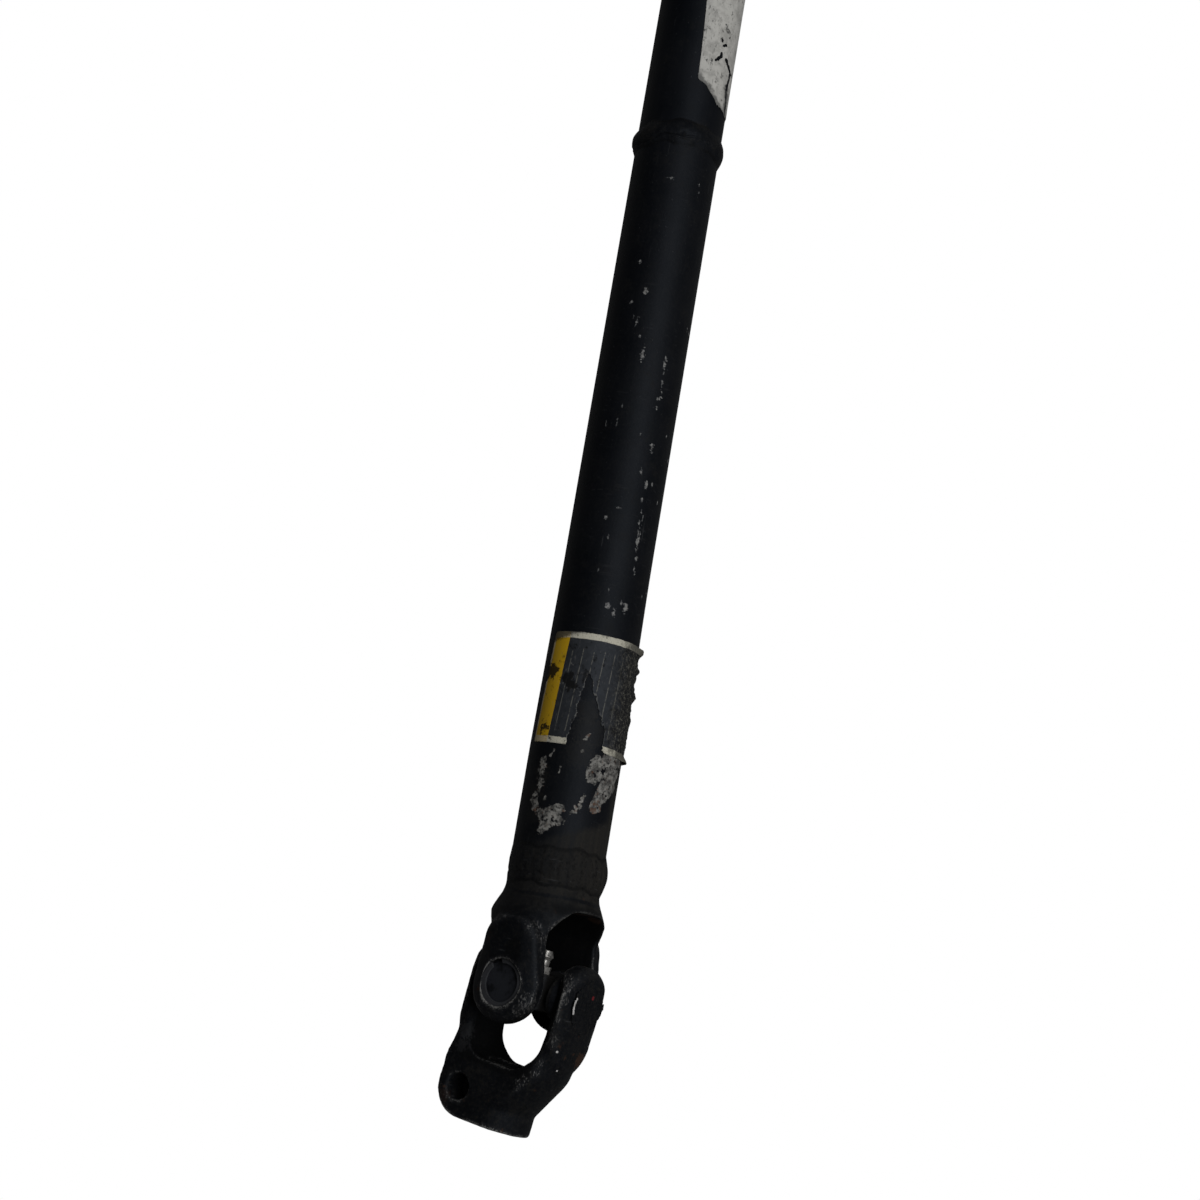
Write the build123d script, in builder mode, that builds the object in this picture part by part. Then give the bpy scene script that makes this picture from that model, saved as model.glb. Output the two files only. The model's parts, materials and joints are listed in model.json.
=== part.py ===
from build123d import *
import os
from math import cos, radians, sin

# Steering shaft of a heavy truck, lying on a bench. A universal joint at each end carries a
# pinch-bolt clamp yoke, and the welded tube between them telescopes on a ten-tooth spline.
# Millimetres. The origin is the lower joint's centre, +X runs up the shaft and +Z is up.

# How the shaft lies
roll = 34.5  # degrees that both joints are turned about the shaft's own axis
rest_bend = 8.5  # degrees that each clamp yoke hangs over at its joint

# Tube and welds
joint_span = 740.0  # between the two joint centres
tube_diameter = 38.1
tube_wall = 3.0
swelled_diameter = 39.7  # of the tube's lower end, opened out over the yoke
swell_start = 100.0
swell_end = 180.0
middle_weld_at = 380.0  # from the lower joint's centre
weld_gap = 3.0  # root opening that each butt weld fills
lower_bead_width = 18.5
middle_bead_width = 13.0
bead_height = 1.3
bead_crown = 7.0
spigot_length = 20.0  # how far a spigot reaches into the tube
fit_gap = 0.02  # between pieces that are pressed or welded together

# Shaft yokes, in the joint's frame: ears along X, shaft along Z
swing_radius = 28.0  # nothing on a yoke reaches further from its own axis
ear_face = 27.0  # flat face at the end of each bearing bore
ear_round = 5.0  # rounded rim of an ear pad
pad_arch_at = 17.0  # centre of the arch that an ear pad ends in
jaw_half_gap = 17.5
jaw_corner = 11.0
flare_start = 10.2  # from the middle of a clamp arm to where its inner edges are cut away
flare_angle = 48.0
flare_rise = 6.0  # how far short of the jaw's bottom the flare starts
shaft_eye_radius = 16.0  # round end of an ear about its bearing bore
shaft_arm_half_width = 13.4
shaft_arm_end = 22.0
shaft_crotch_depth = 33.0  # from the joint centre to the bottom of the jaw
body_radius = 24.4
shoulder_start = 30.0
shoulder_radius_end = 20.6
shoulder_end = 38.0
neck_start = 40.6
lower_neck_end = 48.5
upper_neck_end = 50.0
forge_round = 6.0

# Clamp yokes, in the joint's frame: ears and lugs along X, bolt along Y, hub along Z
clamp_eye_radius = 15.5
clamp_waist_half_width = 13.4
clamp_waist_at = 23.0
clamp_crotch_depth = 32.0
hub_radius = 14.4
hub_half_width = 14.5  # across the lugs' flat sides
hub_end = 58.2
hub_flat_start = 35.0
hub_taper_start = 32.0
hub_taper_end = 49.5
lug_reach = 24.6  # from the hub's axis to the lugs' outer edge
lug_start = 24.0
lug_corner = 13.0
clamp_bore = 20.6
slit_width = 3.0
slit_start = 38.0
slit_relief = 3.0  # radius of the round hole that the slit ends in
bolt_hole = 10.5
bolt_offset = 14.4  # from the hub's axis
bolt_from_end = 12.1
hole_chamfer = 0.7

# Cross and its bearings, measured out from the joint centre along a trunnion
cup_diameter = 19.05
cup_wall = 1.5
cup_floor = 1.6
cup_mouth = 14.0
cup_end = 24.6
cup_edge = 0.5
ring_thickness = 1.1
ring_width = 2.2
ring_groove_depth = 0.6
ring_mouth = 5.0  # opening between the snap ring's ends
ring_turn = 25.0  # degrees of that opening from the shaft's side of the ear
end_play = 0.05
needle_diameter = 2.8
needle_count = 14
needle_sides = 8
needle_end_gap = 0.6
running_gap = 0.05  # on the radius of turning and sliding fits
cross_shoulder = 12.0
shoulder_radius = 6.8
cross_hub_radius = 8.6
cross_hub_height = 15.0
cross_body_height = 13.6
cross_corner = 3.0
grease_way = 3.2
seal_radius = 9.2
seal_clearance = 0.3

# Slip joint
spline_teeth = 10
spline_major = 28.0
spline_minor = 24.0
tooth_width = 4.4
spline_gap = 0.08
shank_length = 17.5  # of the splined shaft, between its spline and the upper yoke
female_spline_length = 108.0
relief_radius = 14.8
sleeve_tail_bore = 25.0
plug_thickness = 2.0
plug_seat = 12.0  # from the sleeve's shoulder
spline_tail = 138.0  # of the male spline, inside the sleeve's mouth
spline_showing = 62.0  # of the male spline, outside the sleeve's mouth
spline_edge = 1.2
shank_diameter = 27.0
socket_depth = 13.0
fillet_leg = 4.5
cap_neck_length = 12.0
cap_neck_wall = 3.2
cap_wall = 2.2
cap_lip = 1.2
cap_edge = 0.6
wiper_thickness = 5.0
wiper_gap = 0.3
fitting_from_mouth = 52.0

# Grease fittings
fitting_hex = 7.0
fitting_hex_height = 3.0
fitting_neck_radius = 2.3
fitting_head_radius = 3.2
fitting_head_start = 5.6
fitting_bevel = 1.4
fitting_height = 9.5
fitting_shank_radius = 3.0
fitting_shank = 3.5
fitting_spot_depth = 0.6  # of the flat that the sleeve has for its fitting
fitting_spot_radius = 5.0

# Worked out
tube_radius = tube_diameter / 2
tube_bore_radius = tube_radius - tube_wall
swelled_radius = swelled_diameter / 2
swelled_bore_radius = swelled_radius - tube_wall
cup_radius = cup_diameter / 2
cup_bore_radius = cup_radius - cup_wall
cup_inside = cup_end - cup_floor
bearing_bore_radius = cup_radius + fit_gap
groove_start = cup_end + fit_gap
groove_end = groove_start + ring_thickness + fit_gap
groove_radius = bearing_bore_radius + ring_groove_depth
ring_radius = groove_radius - fit_gap
trunnion_radius = cup_bore_radius - needle_diameter - 2 * running_gap
trunnion_end = cup_inside - end_play
needle_start = cup_mouth + needle_end_gap
needle_length = cup_inside - needle_end_gap - needle_start
needle_pitch_radius = trunnion_radius + running_gap + needle_diameter / 2
tube_start = lower_neck_end + weld_gap
tube_end = middle_weld_at - weld_gap / 2
sleeve_shoulder = middle_weld_at + weld_gap / 2
upper_yoke_face = joint_span - upper_neck_end
spline_end = upper_yoke_face - shank_length
sleeve_mouth = spline_end - spline_showing
neck_radius = spline_major / 2 + spline_gap + cap_neck_wall
cap_radius = neck_radius + fit_gap + cap_wall
cap_start = sleeve_mouth - cap_neck_length
cap_end = sleeve_mouth + wiper_thickness + cap_lip
spline_start = sleeve_mouth - spline_tail
past = 2 * swing_radius  # long enough to cut right through a yoke
waist_window = 1.0  # picks the corners that lie at a waist

along = Vector(1, 0, 0)
fixed_axis = Vector(0, sin(radians(roll)), cos(radians(roll)))
swing_axis = Vector(0, -cos(radians(roll)), sin(radians(roll)))
upper_centre = along * joint_span

lower_shaft_frame = Plane(origin=(0, 0, 0), x_dir=fixed_axis, z_dir=along)
upper_shaft_frame = Plane(origin=upper_centre, x_dir=fixed_axis, z_dir=-along)
shaft_line = Plane(origin=(0, 0, 0), x_dir=(0, 1, 0), z_dir=along)
fitting_seat = Plane(
    origin=(sleeve_mouth - fitting_from_mouth, 0, tube_radius - fitting_spot_depth),
    x_dir=along,
    z_dir=(0, 0, 1),
)


def clamp_frame(centre, outward):
    """The frame of a clamp yoke that hangs over by the rest bend: +Z out along its own hub."""
    lean = radians(rest_bend)
    return Plane(
        origin=centre,
        x_dir=swing_axis * cos(lean) + outward * sin(lean),
        z_dir=outward * cos(lean) - swing_axis * sin(lean),
    )


def save(piece, name):
    """Label a finished piece and write it under the same name."""
    piece.part.label = name
    export_step(piece.part, f"parts/{name}.step")


def turned(points):
    """A body turned about Z, from its half outline as (radius, height) points."""
    with BuildPart() as body:
        with BuildSketch(Plane.XZ):
            with BuildLine():
                Polyline(*points, close=True)
            make_face()
        revolve(axis=Axis.Z)
    return body.part


def ear_side(frame, side):
    """The frame of one ear: +Z out along its trunnion and +X towards the yoke's own root."""
    outward = frame.x_dir * side
    return Plane(origin=frame.origin, x_dir=frame.z_dir, z_dir=outward)


def facing_back(frame):
    """The same place, with +Z the other way."""
    return Plane(origin=frame.origin, x_dir=frame.x_dir, z_dir=-frame.z_dir)


def bearing_bores():
    """What the two bearing bores, with their ring grooves, take out of a yoke."""
    with BuildPart() as bores:
        with BuildSketch(Plane.YZ):
            Circle(bearing_bore_radius)
        extrude(amount=past, both=True)
        for start in (groove_start, -groove_end):
            with BuildSketch(Plane.YZ.offset(start)):
                Circle(groove_radius)
            extrude(amount=groove_end - groove_start)
    return bores.part


def jaw_gap(depth, flared):
    """Space between a yoke's two ears. A flared one opens out past the middle of the arms."""
    with BuildPart() as gap:
        if flared:
            with BuildSketch(Plane.XZ.offset(flare_start)) as flare:
                with Locations((0, depth - flare_rise)):
                    Rectangle(2 * jaw_half_gap, depth + past, align=(Align.CENTER, Align.MAX))
                fillet(flare.vertices().group_by(Axis.Y)[-1], radius=jaw_corner)
            extrude(amount=shaft_eye_radius - flare_start, taper=-flare_angle)
            mirror(about=Plane.XZ)
        with BuildSketch(Plane.XZ) as outline:
            with Locations((0, depth)):
                Rectangle(2 * jaw_half_gap, depth + past, align=(Align.CENTER, Align.MAX))
            fillet(outline.vertices().group_by(Axis.Y)[-1], radius=jaw_corner)
        extrude(amount=past, both=True)
    return gap.part


def ear_pads(eye_radius, arm_half_width):
    """The two ears as one bar along X: round about the bore, narrowing to an arch, with rounded
    rims, and turned to the swing radius."""
    with BuildPart() as pads:
        with BuildSketch(Plane.YZ):
            Circle(eye_radius)
            with Locations((0, pad_arch_at)):
                Circle(arm_half_width)
            with BuildLine():
                Polyline(
                    (-eye_radius, 0),
                    (-arm_half_width, pad_arch_at),
                    (arm_half_width, pad_arch_at),
                    (eye_radius, 0),
                    close=True,
                )
            make_face()
        extrude(amount=ear_face, both=True)
        rims = pads.edges().filter_by_position(Axis.X, ear_face, ear_face)
        rims += pads.edges().filter_by_position(Axis.X, -ear_face, -ear_face)
        fillet(rims, radius=ear_round)
        Cylinder(swing_radius, past, mode=Mode.INTERSECT)
    return pads.part


def shaft_yoke(neck_end, neck):
    """Forged fork: a turned body cut to two arms, ear pads, a rounded jaw and bearing bores."""
    jaw = jaw_gap(shaft_crotch_depth, flared=False)
    bores = bearing_bores()
    pads = ear_pads(shaft_eye_radius, shaft_arm_half_width)
    with BuildPart() as yoke:
        with BuildSketch(Plane.XZ) as outline:
            with BuildLine():
                Polyline(
                    (0, 0),
                    (body_radius, 0),
                    (body_radius, shoulder_start),
                    (shoulder_radius_end, shoulder_end),
                    (neck, neck_start),
                    (neck, neck_end),
                    (0, neck_end),
                    close=True,
                )
            make_face()
            fillet(outline.vertices().sort_by_distance((body_radius, shoulder_start))[0], radius=forge_round)
        revolve(axis=Axis.Z)
        with BuildSketch(Plane.YZ) as front:
            with BuildLine():
                Polyline(
                    (-shaft_eye_radius, 0),
                    (-shaft_arm_half_width, shaft_arm_end),
                    (-swing_radius, neck_start),
                    (-swing_radius, neck_end),
                    (swing_radius, neck_end),
                    (swing_radius, neck_start),
                    (shaft_arm_half_width, shaft_arm_end),
                    (shaft_eye_radius, 0),
                    close=True,
                )
            make_face()
            waist = front.vertices().filter_by_position(
                Axis.Y, shaft_arm_end - waist_window, shaft_arm_end + waist_window
            )
            fillet(waist, radius=forge_round)
        extrude(amount=past, both=True, mode=Mode.INTERSECT)
        add(pads)
        add(jaw, mode=Mode.SUBTRACT)
        add(bores, mode=Mode.SUBTRACT)
    return yoke.part


def clamp_yoke():
    """Forged fork whose hub is split between two lugs, drawn together by a bolt along Y."""
    jaw = jaw_gap(clamp_crotch_depth, flared=True)
    bores = bearing_bores()
    pads = ear_pads(clamp_eye_radius, clamp_waist_half_width)
    with BuildPart() as yoke:
        with BuildSketch(Plane.XZ) as outline:
            with BuildLine():
                Polyline(
                    (0, 0),
                    (body_radius, 0),
                    (body_radius, hub_taper_start),
                    (hub_radius, hub_taper_end),
                    (hub_radius, hub_end),
                    (0, hub_end),
                    close=True,
                )
            make_face()
            fillet(outline.vertices().sort_by_distance((body_radius, hub_taper_start))[0], radius=forge_round)
        revolve(axis=Axis.Z)
        with BuildSketch(Plane.XZ) as lugs:
            with BuildLine():
                Polyline(
                    (0, lug_start),
                    (-body_radius, lug_start),
                    (-lug_reach, hub_flat_start),
                    (-lug_reach, hub_end),
                    (0, hub_end),
                    close=True,
                )
            make_face()
            fillet(lugs.vertices().sort_by_distance((-lug_reach, hub_end))[0], radius=lug_corner)
        extrude(amount=hub_half_width, both=True)
        with BuildSketch(Plane.YZ) as side:
            with BuildLine():
                Polyline(
                    (-clamp_eye_radius, 0),
                    (-clamp_waist_half_width, clamp_waist_at),
                    (-hub_half_width, hub_flat_start),
                    (-hub_half_width, hub_end),
                    (hub_half_width, hub_end),
                    (hub_half_width, hub_flat_start),
                    (clamp_waist_half_width, clamp_waist_at),
                    (clamp_eye_radius, 0),
                    close=True,
                )
            make_face()
            waist = side.vertices().filter_by_position(
                Axis.Y, clamp_waist_at - waist_window, clamp_waist_at + waist_window
            )
            fillet(waist, radius=forge_round)
        extrude(amount=ear_face, both=True, mode=Mode.INTERSECT)
        add(pads)
        add(jaw, mode=Mode.SUBTRACT)
        add(bores, mode=Mode.SUBTRACT)
        with BuildSketch(Plane.XY):
            Circle(clamp_bore / 2)
        extrude(amount=hub_end, mode=Mode.SUBTRACT)
        with BuildSketch(Plane.XZ):
            with BuildLine():
                Polyline(
                    (0, hub_end),
                    (clamp_bore / 2, hub_end - hole_chamfer),
                    (clamp_bore / 2 + hole_chamfer, hub_end),
                    close=True,
                )
            make_face()
        revolve(axis=Axis.Z, mode=Mode.SUBTRACT)
        with BuildSketch(Plane.XZ):
            with Locations((0, slit_start)):
                Rectangle(2 * lug_reach, hub_end, align=(Align.MAX, Align.MIN))
        extrude(amount=slit_width / 2, both=True, mode=Mode.SUBTRACT)
        with BuildSketch(Plane.YZ):
            with Locations((0, slit_start)):
                Circle(slit_relief)
        extrude(amount=-past, mode=Mode.SUBTRACT)
        with Locations((-bolt_offset, 0, hub_end - bolt_from_end)):
            Cylinder(bolt_hole / 2, past, rotation=(90, 0, 0), mode=Mode.SUBTRACT)
        for side in (1, -1):
            with Locations(Plane(
                origin=(-bolt_offset, side * hub_half_width, hub_end - bolt_from_end),
                z_dir=(0, -side, 0),
            )):
                Cone(
                    bolt_hole / 2 + hole_chamfer,
                    bolt_hole / 2,
                    hole_chamfer,
                    align=(Align.CENTER, Align.CENTER, Align.MIN),
                    mode=Mode.SUBTRACT,
                )
    return yoke.part


def bearing_cup():
    """Closed needle-bearing cup, opening towards the joint's centre."""
    return turned([
        (cup_bore_radius, cup_mouth),
        (cup_radius, cup_mouth),
        (cup_radius, cup_end - cup_edge),
        (cup_radius - cup_edge, cup_end),
        (0, cup_end),
        (0, cup_inside),
        (cup_bore_radius, cup_inside),
    ])


def snap_ring():
    """Flat spring ring in its groove, open on the side that faces the yoke's root."""
    with BuildPart() as ring:
        with BuildSketch(Plane.XY.offset(groove_start)):
            Circle(ring_radius)
            Circle(ring_radius - ring_width, mode=Mode.SUBTRACT)
            with Locations(Location((0, 0, 0), (0, 0, ring_turn))):
                Rectangle(2 * ring_radius, ring_mouth, align=(Align.MIN, Align.CENTER), mode=Mode.SUBTRACT)
        extrude(amount=ring_thickness)
    return ring.part


def needle_set():
    """Full complement of needle rollers round a trunnion."""
    with BuildPart() as needles:
        with BuildSketch(Plane.XY.offset(needle_start)):
            with PolarLocations(needle_pitch_radius, needle_count):
                RegularPolygon(needle_diameter / 2, needle_sides)
        extrude(amount=needle_length)
    return needles.part


def lip_seal():
    """Seal at a cup's mouth, clear of the trunnion's shoulder."""
    with BuildPart() as seal:
        with BuildSketch(Plane.XY.offset(cross_shoulder + seal_clearance)):
            Circle(seal_radius)
            Circle(trunnion_radius + seal_clearance, mode=Mode.SUBTRACT)
        extrude(amount=cup_mouth - cross_shoulder - seal_clearance)
    return seal.part


def joint_cross():
    """Forged cross with four drilled trunnions along X and Y, its grease fitting's seat on -Z."""
    with BuildPart() as cross:
        with BuildSketch() as body:
            Rectangle(2 * cross_shoulder, 2 * shoulder_radius)
            Rectangle(2 * shoulder_radius, 2 * cross_shoulder)
            fillet(body.vertices().sort_by_distance((0, 0))[:4], radius=cross_corner)
        extrude(amount=cross_body_height / 2, both=True)
        with BuildSketch(Plane.XY.offset(-cross_hub_height / 2)):
            Circle(cross_hub_radius)
        extrude(amount=cross_hub_height)
        for plane in (Plane.YZ, Plane.ZX, -Plane.YZ, -Plane.ZX):
            with BuildSketch(plane.offset(cross_shoulder)):
                Circle(trunnion_radius)
            extrude(amount=trunnion_end - cross_shoulder)
            with BuildSketch(plane.offset(trunnion_end)):
                Circle(grease_way / 2)
            extrude(amount=-trunnion_end + grease_way, mode=Mode.SUBTRACT)
        with BuildSketch(Plane.XY.offset(-cross_hub_height / 2)):
            Circle(fitting_shank_radius + fit_gap)
        extrude(amount=fitting_shank + fit_gap, mode=Mode.SUBTRACT)
    return cross.part


def grease_fitting():
    """Fitting that stands on Z = 0, with its shank below."""
    stem = turned([
        (0, -fitting_shank),
        (fitting_shank_radius, -fitting_shank),
        (fitting_shank_radius, fitting_hex_height),
        (fitting_neck_radius, fitting_hex_height),
        (fitting_neck_radius, fitting_head_start),
        (fitting_head_radius, fitting_head_start + fitting_bevel),
        (fitting_neck_radius, fitting_height),
        (0, fitting_height),
    ])
    with BuildPart() as fitting:
        with BuildSketch(Plane.XY):
            RegularPolygon(fitting_hex / 2, 6, major_radius=False)
        extrude(amount=fitting_hex_height)
        add(stem)
    return fitting.part


def weld_bead(position, width, root, surface):
    """Butt weld about Z: it fills the root opening and stands proud of the surface."""
    return turned([
        (root, position - weld_gap / 2 + fit_gap),
        (surface, position - weld_gap / 2 + fit_gap),
        (surface, position - width / 2),
        (surface + bead_height, position - bead_crown / 2),
        (surface + bead_height, position + bead_crown / 2),
        (surface, position + width / 2),
        (surface, position + weld_gap / 2 - fit_gap),
        (root, position + weld_gap / 2 - fit_gap),
    ])


def spline_outline(clearance):
    """Cross-section of the splined shaft, made larger all round by the clearance."""
    with BuildSketch() as outline:
        Circle(spline_minor / 2 + clearance)
        with PolarLocations(0, spline_teeth):
            Rectangle(
                spline_major / 2 + clearance,
                tooth_width + 2 * clearance,
                align=(Align.MIN, Align.CENTER),
            )
        Circle(spline_major / 2 + clearance, mode=Mode.INTERSECT)
    return outline.sketch


os.makedirs("parts", exist_ok=True)
lower_clamp_frame = clamp_frame(lower_shaft_frame.origin, -along)
upper_clamp_frame = clamp_frame(upper_centre, along)

# Lower shaft yoke, with a spigot for the tube
lower_fork = shaft_yoke(lower_neck_end, swelled_radius)
with BuildPart(lower_shaft_frame) as lower_tube_yoke:
    add(lower_fork)
    with BuildSketch(lower_shaft_frame.offset(lower_neck_end)):
        Circle(swelled_bore_radius - fit_gap)
    extrude(amount=weld_gap + spigot_length)
save(lower_tube_yoke, "lower_tube_yoke")

# Main tube, its lower end swelled to fit over the yoke's spigot
tube_form = turned([
    (swelled_bore_radius, tube_start),
    (swelled_radius, tube_start),
    (swelled_radius, swell_start),
    (tube_radius, swell_end),
    (tube_radius, tube_end),
    (tube_bore_radius, tube_end),
    (tube_bore_radius, swell_end),
    (swelled_bore_radius, swell_start),
])
with BuildPart(shaft_line) as main_tube:
    add(tube_form)
save(main_tube, "main_tube")

# Butt welds at the tube's two ends
lower_bead_form = weld_bead(
    lower_neck_end + weld_gap / 2, lower_bead_width, swelled_bore_radius, swelled_radius
)
with BuildPart(shaft_line) as lower_weld_bead:
    add(lower_bead_form)
save(lower_weld_bead, "lower_weld_bead")

middle_bead_form = weld_bead(middle_weld_at, middle_bead_width, tube_bore_radius, tube_radius)
with BuildPart(shaft_line) as middle_weld_bead:
    add(middle_bead_form)
save(middle_weld_bead, "middle_weld_bead")

# Slip sleeve: spigot into the main tube, relief bore, internal spline and turned-down mouth
sleeve_form = turned([
    (sleeve_tail_bore / 2, tube_end - spigot_length),
    (tube_bore_radius - fit_gap, tube_end - spigot_length),
    (tube_bore_radius - fit_gap, sleeve_shoulder),
    (tube_radius, sleeve_shoulder),
    (tube_radius, cap_start),
    (neck_radius, cap_start),
    (neck_radius, sleeve_mouth),
    (0, sleeve_mouth),
    (0, sleeve_mouth - female_spline_length),
    (relief_radius, sleeve_mouth - female_spline_length),
    (relief_radius, sleeve_shoulder + plug_seat),
    (sleeve_tail_bore / 2, sleeve_shoulder + plug_seat),
])
spline_bore = spline_outline(spline_gap)
with BuildPart(shaft_line) as slip_sleeve:
    add(sleeve_form)
    with BuildSketch(shaft_line.offset(sleeve_mouth - female_spline_length)):
        add(spline_bore)
    extrude(amount=female_spline_length, mode=Mode.SUBTRACT)
    with BuildSketch(fitting_seat):
        Circle(fitting_spot_radius)
    extrude(amount=fitting_spot_depth, mode=Mode.SUBTRACT)
    with BuildSketch(fitting_seat):
        Circle(fitting_shank_radius + fit_gap)
    extrude(amount=-fitting_shank - fit_gap, mode=Mode.SUBTRACT)
    with BuildSketch(fitting_seat):
        Circle(grease_way / 2)
    extrude(amount=-tube_radius, mode=Mode.SUBTRACT)
save(slip_sleeve, "slip_sleeve")

fitting_form = grease_fitting()
with BuildPart(fitting_seat) as sleeve_grease_fitting:
    add(fitting_form)
save(sleeve_grease_fitting, "sleeve_grease_fitting")

plug_start = sleeve_shoulder + plug_seat + fit_gap
with BuildPart(shaft_line) as sleeve_plug:
    with BuildSketch(shaft_line.offset(plug_start)):
        Circle(relief_radius - fit_gap)
    extrude(amount=plug_thickness)
save(sleeve_plug, "sleeve_plug")

# Dust cap over the sleeve's mouth, and the wiper that it holds
cap_form = turned([
    (neck_radius + fit_gap, cap_start + fit_gap),
    (cap_radius, cap_start + fit_gap),
    (cap_radius, cap_end - cap_edge),
    (cap_radius - cap_edge, cap_end),
    (spline_major / 2 + cap_lip, cap_end),
    (spline_major / 2 + cap_lip, cap_end - cap_lip),
    (neck_radius + fit_gap, cap_end - cap_lip),
])
with BuildPart(shaft_line) as dust_cap:
    add(cap_form)
save(dust_cap, "dust_cap")

with BuildPart(shaft_line) as wiper_seal:
    with BuildSketch(shaft_line.offset(sleeve_mouth + fit_gap)):
        Circle(neck_radius)
        Circle(spline_major / 2 + wiper_gap, mode=Mode.SUBTRACT)
    extrude(amount=wiper_thickness - 2 * fit_gap)
save(wiper_seal, "wiper_seal")

# Splined shaft, with a plain shank that the upper yoke is welded to
male_spline = spline_outline(0)
spline_blank = turned([
    (0, spline_start),
    (spline_major / 2 - spline_edge, spline_start),
    (spline_major / 2, spline_start + spline_edge),
    (spline_major / 2, spline_end),
    (0, spline_end),
])
with BuildPart(shaft_line) as spline_shaft:
    with BuildSketch(shaft_line.offset(spline_start)):
        add(male_spline)
    extrude(amount=spline_end - spline_start)
    add(spline_blank, mode=Mode.INTERSECT)
    with BuildSketch(shaft_line.offset(spline_end)):
        Circle(shank_diameter / 2)
    extrude(amount=upper_yoke_face + socket_depth - spline_end)
save(spline_shaft, "spline_shaft")

upper_fork = shaft_yoke(upper_neck_end, tube_radius)
with BuildPart(upper_shaft_frame) as upper_shaft_yoke:
    add(upper_fork)
    with BuildSketch(upper_shaft_frame.offset(upper_neck_end)):
        Circle(shank_diameter / 2 + fit_gap)
    extrude(amount=-socket_depth - fit_gap, mode=Mode.SUBTRACT)
save(upper_shaft_yoke, "upper_shaft_yoke")

upper_bead_form = turned([
    (shank_diameter / 2 + fit_gap, upper_yoke_face - fit_gap),
    (shank_diameter / 2 + fillet_leg, upper_yoke_face - fit_gap),
    (shank_diameter / 2 + fit_gap, upper_yoke_face - fillet_leg),
])
with BuildPart(shaft_line) as upper_weld_bead:
    add(upper_bead_form)
save(upper_weld_bead, "upper_weld_bead")

# Clamp yokes, each with its cross and the grease fitting on the side that faces the shaft
clamp_form = clamp_yoke()
cross_form = joint_cross()
for end, frame in (("lower", lower_clamp_frame), ("upper", upper_clamp_frame)):
    with BuildPart(frame) as clamp:
        add(clamp_form)
    save(clamp, f"{end}_clamp_yoke")
    with BuildPart(frame) as cross:
        add(cross_form)
    save(cross, f"{end}_cross")
    with BuildPart(facing_back(frame.offset(-cross_hub_height / 2))) as cross_fitting:
        add(fitting_form)
    save(cross_fitting, f"{end}_cross_grease_fitting")

# The same bearing in all eight ears: cup, needles and seal inside, snap ring outside
bearing_pieces = {
    "cup": bearing_cup(),
    "needles": needle_set(),
    "seal": lip_seal(),
    "snap_ring": snap_ring(),
}
yoke_frames = {
    "lower_tube_yoke": lower_shaft_frame,
    "lower_clamp_yoke": lower_clamp_frame,
    "upper_shaft_yoke": upper_shaft_frame,
    "upper_clamp_yoke": upper_clamp_frame,
}
for yoke_name, frame in yoke_frames.items():
    for number, side in ((1, 1), (2, -1)):
        for piece_name, form in bearing_pieces.items():
            with BuildPart(ear_side(frame, side)) as piece:
                add(form)
            save(piece, f"{yoke_name}_{piece_name}_{number}")
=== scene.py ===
"""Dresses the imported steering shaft: forged yokes, welds, labels, worn paint and the studio."""

import json
import math
import random
from fnmatch import fnmatchcase

import bmesh
import bpy
import numpy as np
from mathutils import Matrix, Vector, noise


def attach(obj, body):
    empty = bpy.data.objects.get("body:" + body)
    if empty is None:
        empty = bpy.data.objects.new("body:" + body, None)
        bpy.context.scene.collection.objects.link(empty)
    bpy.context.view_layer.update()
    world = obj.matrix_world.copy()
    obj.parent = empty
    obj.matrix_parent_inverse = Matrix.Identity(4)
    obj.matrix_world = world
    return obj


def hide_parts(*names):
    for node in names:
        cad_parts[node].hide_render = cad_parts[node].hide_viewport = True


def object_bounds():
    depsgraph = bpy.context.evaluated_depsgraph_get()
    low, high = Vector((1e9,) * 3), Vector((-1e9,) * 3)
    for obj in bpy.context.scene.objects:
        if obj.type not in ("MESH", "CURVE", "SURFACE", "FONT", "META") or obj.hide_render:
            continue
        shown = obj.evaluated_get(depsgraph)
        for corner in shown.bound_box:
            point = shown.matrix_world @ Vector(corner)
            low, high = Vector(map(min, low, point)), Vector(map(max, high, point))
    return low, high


bl_info = {
    "name": "Steering Shaft Dressing",
    "version": (1, 0, 0),
    "blender": (4, 5, 0),
    "location": "3D View > Sidebar > Steering Shaft",
    "description": "Builds the worn paint, welds and labels of a shaft round its CAD frame",
    "category": "Object",
}

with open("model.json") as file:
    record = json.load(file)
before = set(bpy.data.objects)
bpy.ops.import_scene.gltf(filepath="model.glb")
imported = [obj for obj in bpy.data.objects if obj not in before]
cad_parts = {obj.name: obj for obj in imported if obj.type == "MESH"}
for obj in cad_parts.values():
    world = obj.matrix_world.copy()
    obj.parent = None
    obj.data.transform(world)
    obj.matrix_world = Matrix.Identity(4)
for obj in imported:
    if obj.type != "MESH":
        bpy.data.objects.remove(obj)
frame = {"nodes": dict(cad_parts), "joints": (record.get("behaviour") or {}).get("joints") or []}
cad_box = [list(corner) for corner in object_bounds()]
joints = {joint["name"]: joint for joint in frame["joints"]}

MM = 0.001

# Places on the CAD in millimetres: along the shaft, or outwards from a joint's centre
TUBE_RADIUS = 19.05
SWELLED_RADIUS = 19.85
SWELL_START = 100.0
SWELL_END = 180.0
HUB_START = 30.0
ARM_END = 36.0
EAR_BORE = 10.6
EAR_INNER_FACE = 18.6
CLAMP_EAR_FACE = 25.75

# Where the looks change, in millimetres up the shaft, and how they do
HUB_SEAM = 38.0
DUST_END, DUST_SLANT = 63.5, 0.42
UPPER_FRAYED = 410.0
CHIP_MARGIN = 0.6
COOL_TINT = (0.78, 0.87, 1.0, 1.0)


# Shader helpers


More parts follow.
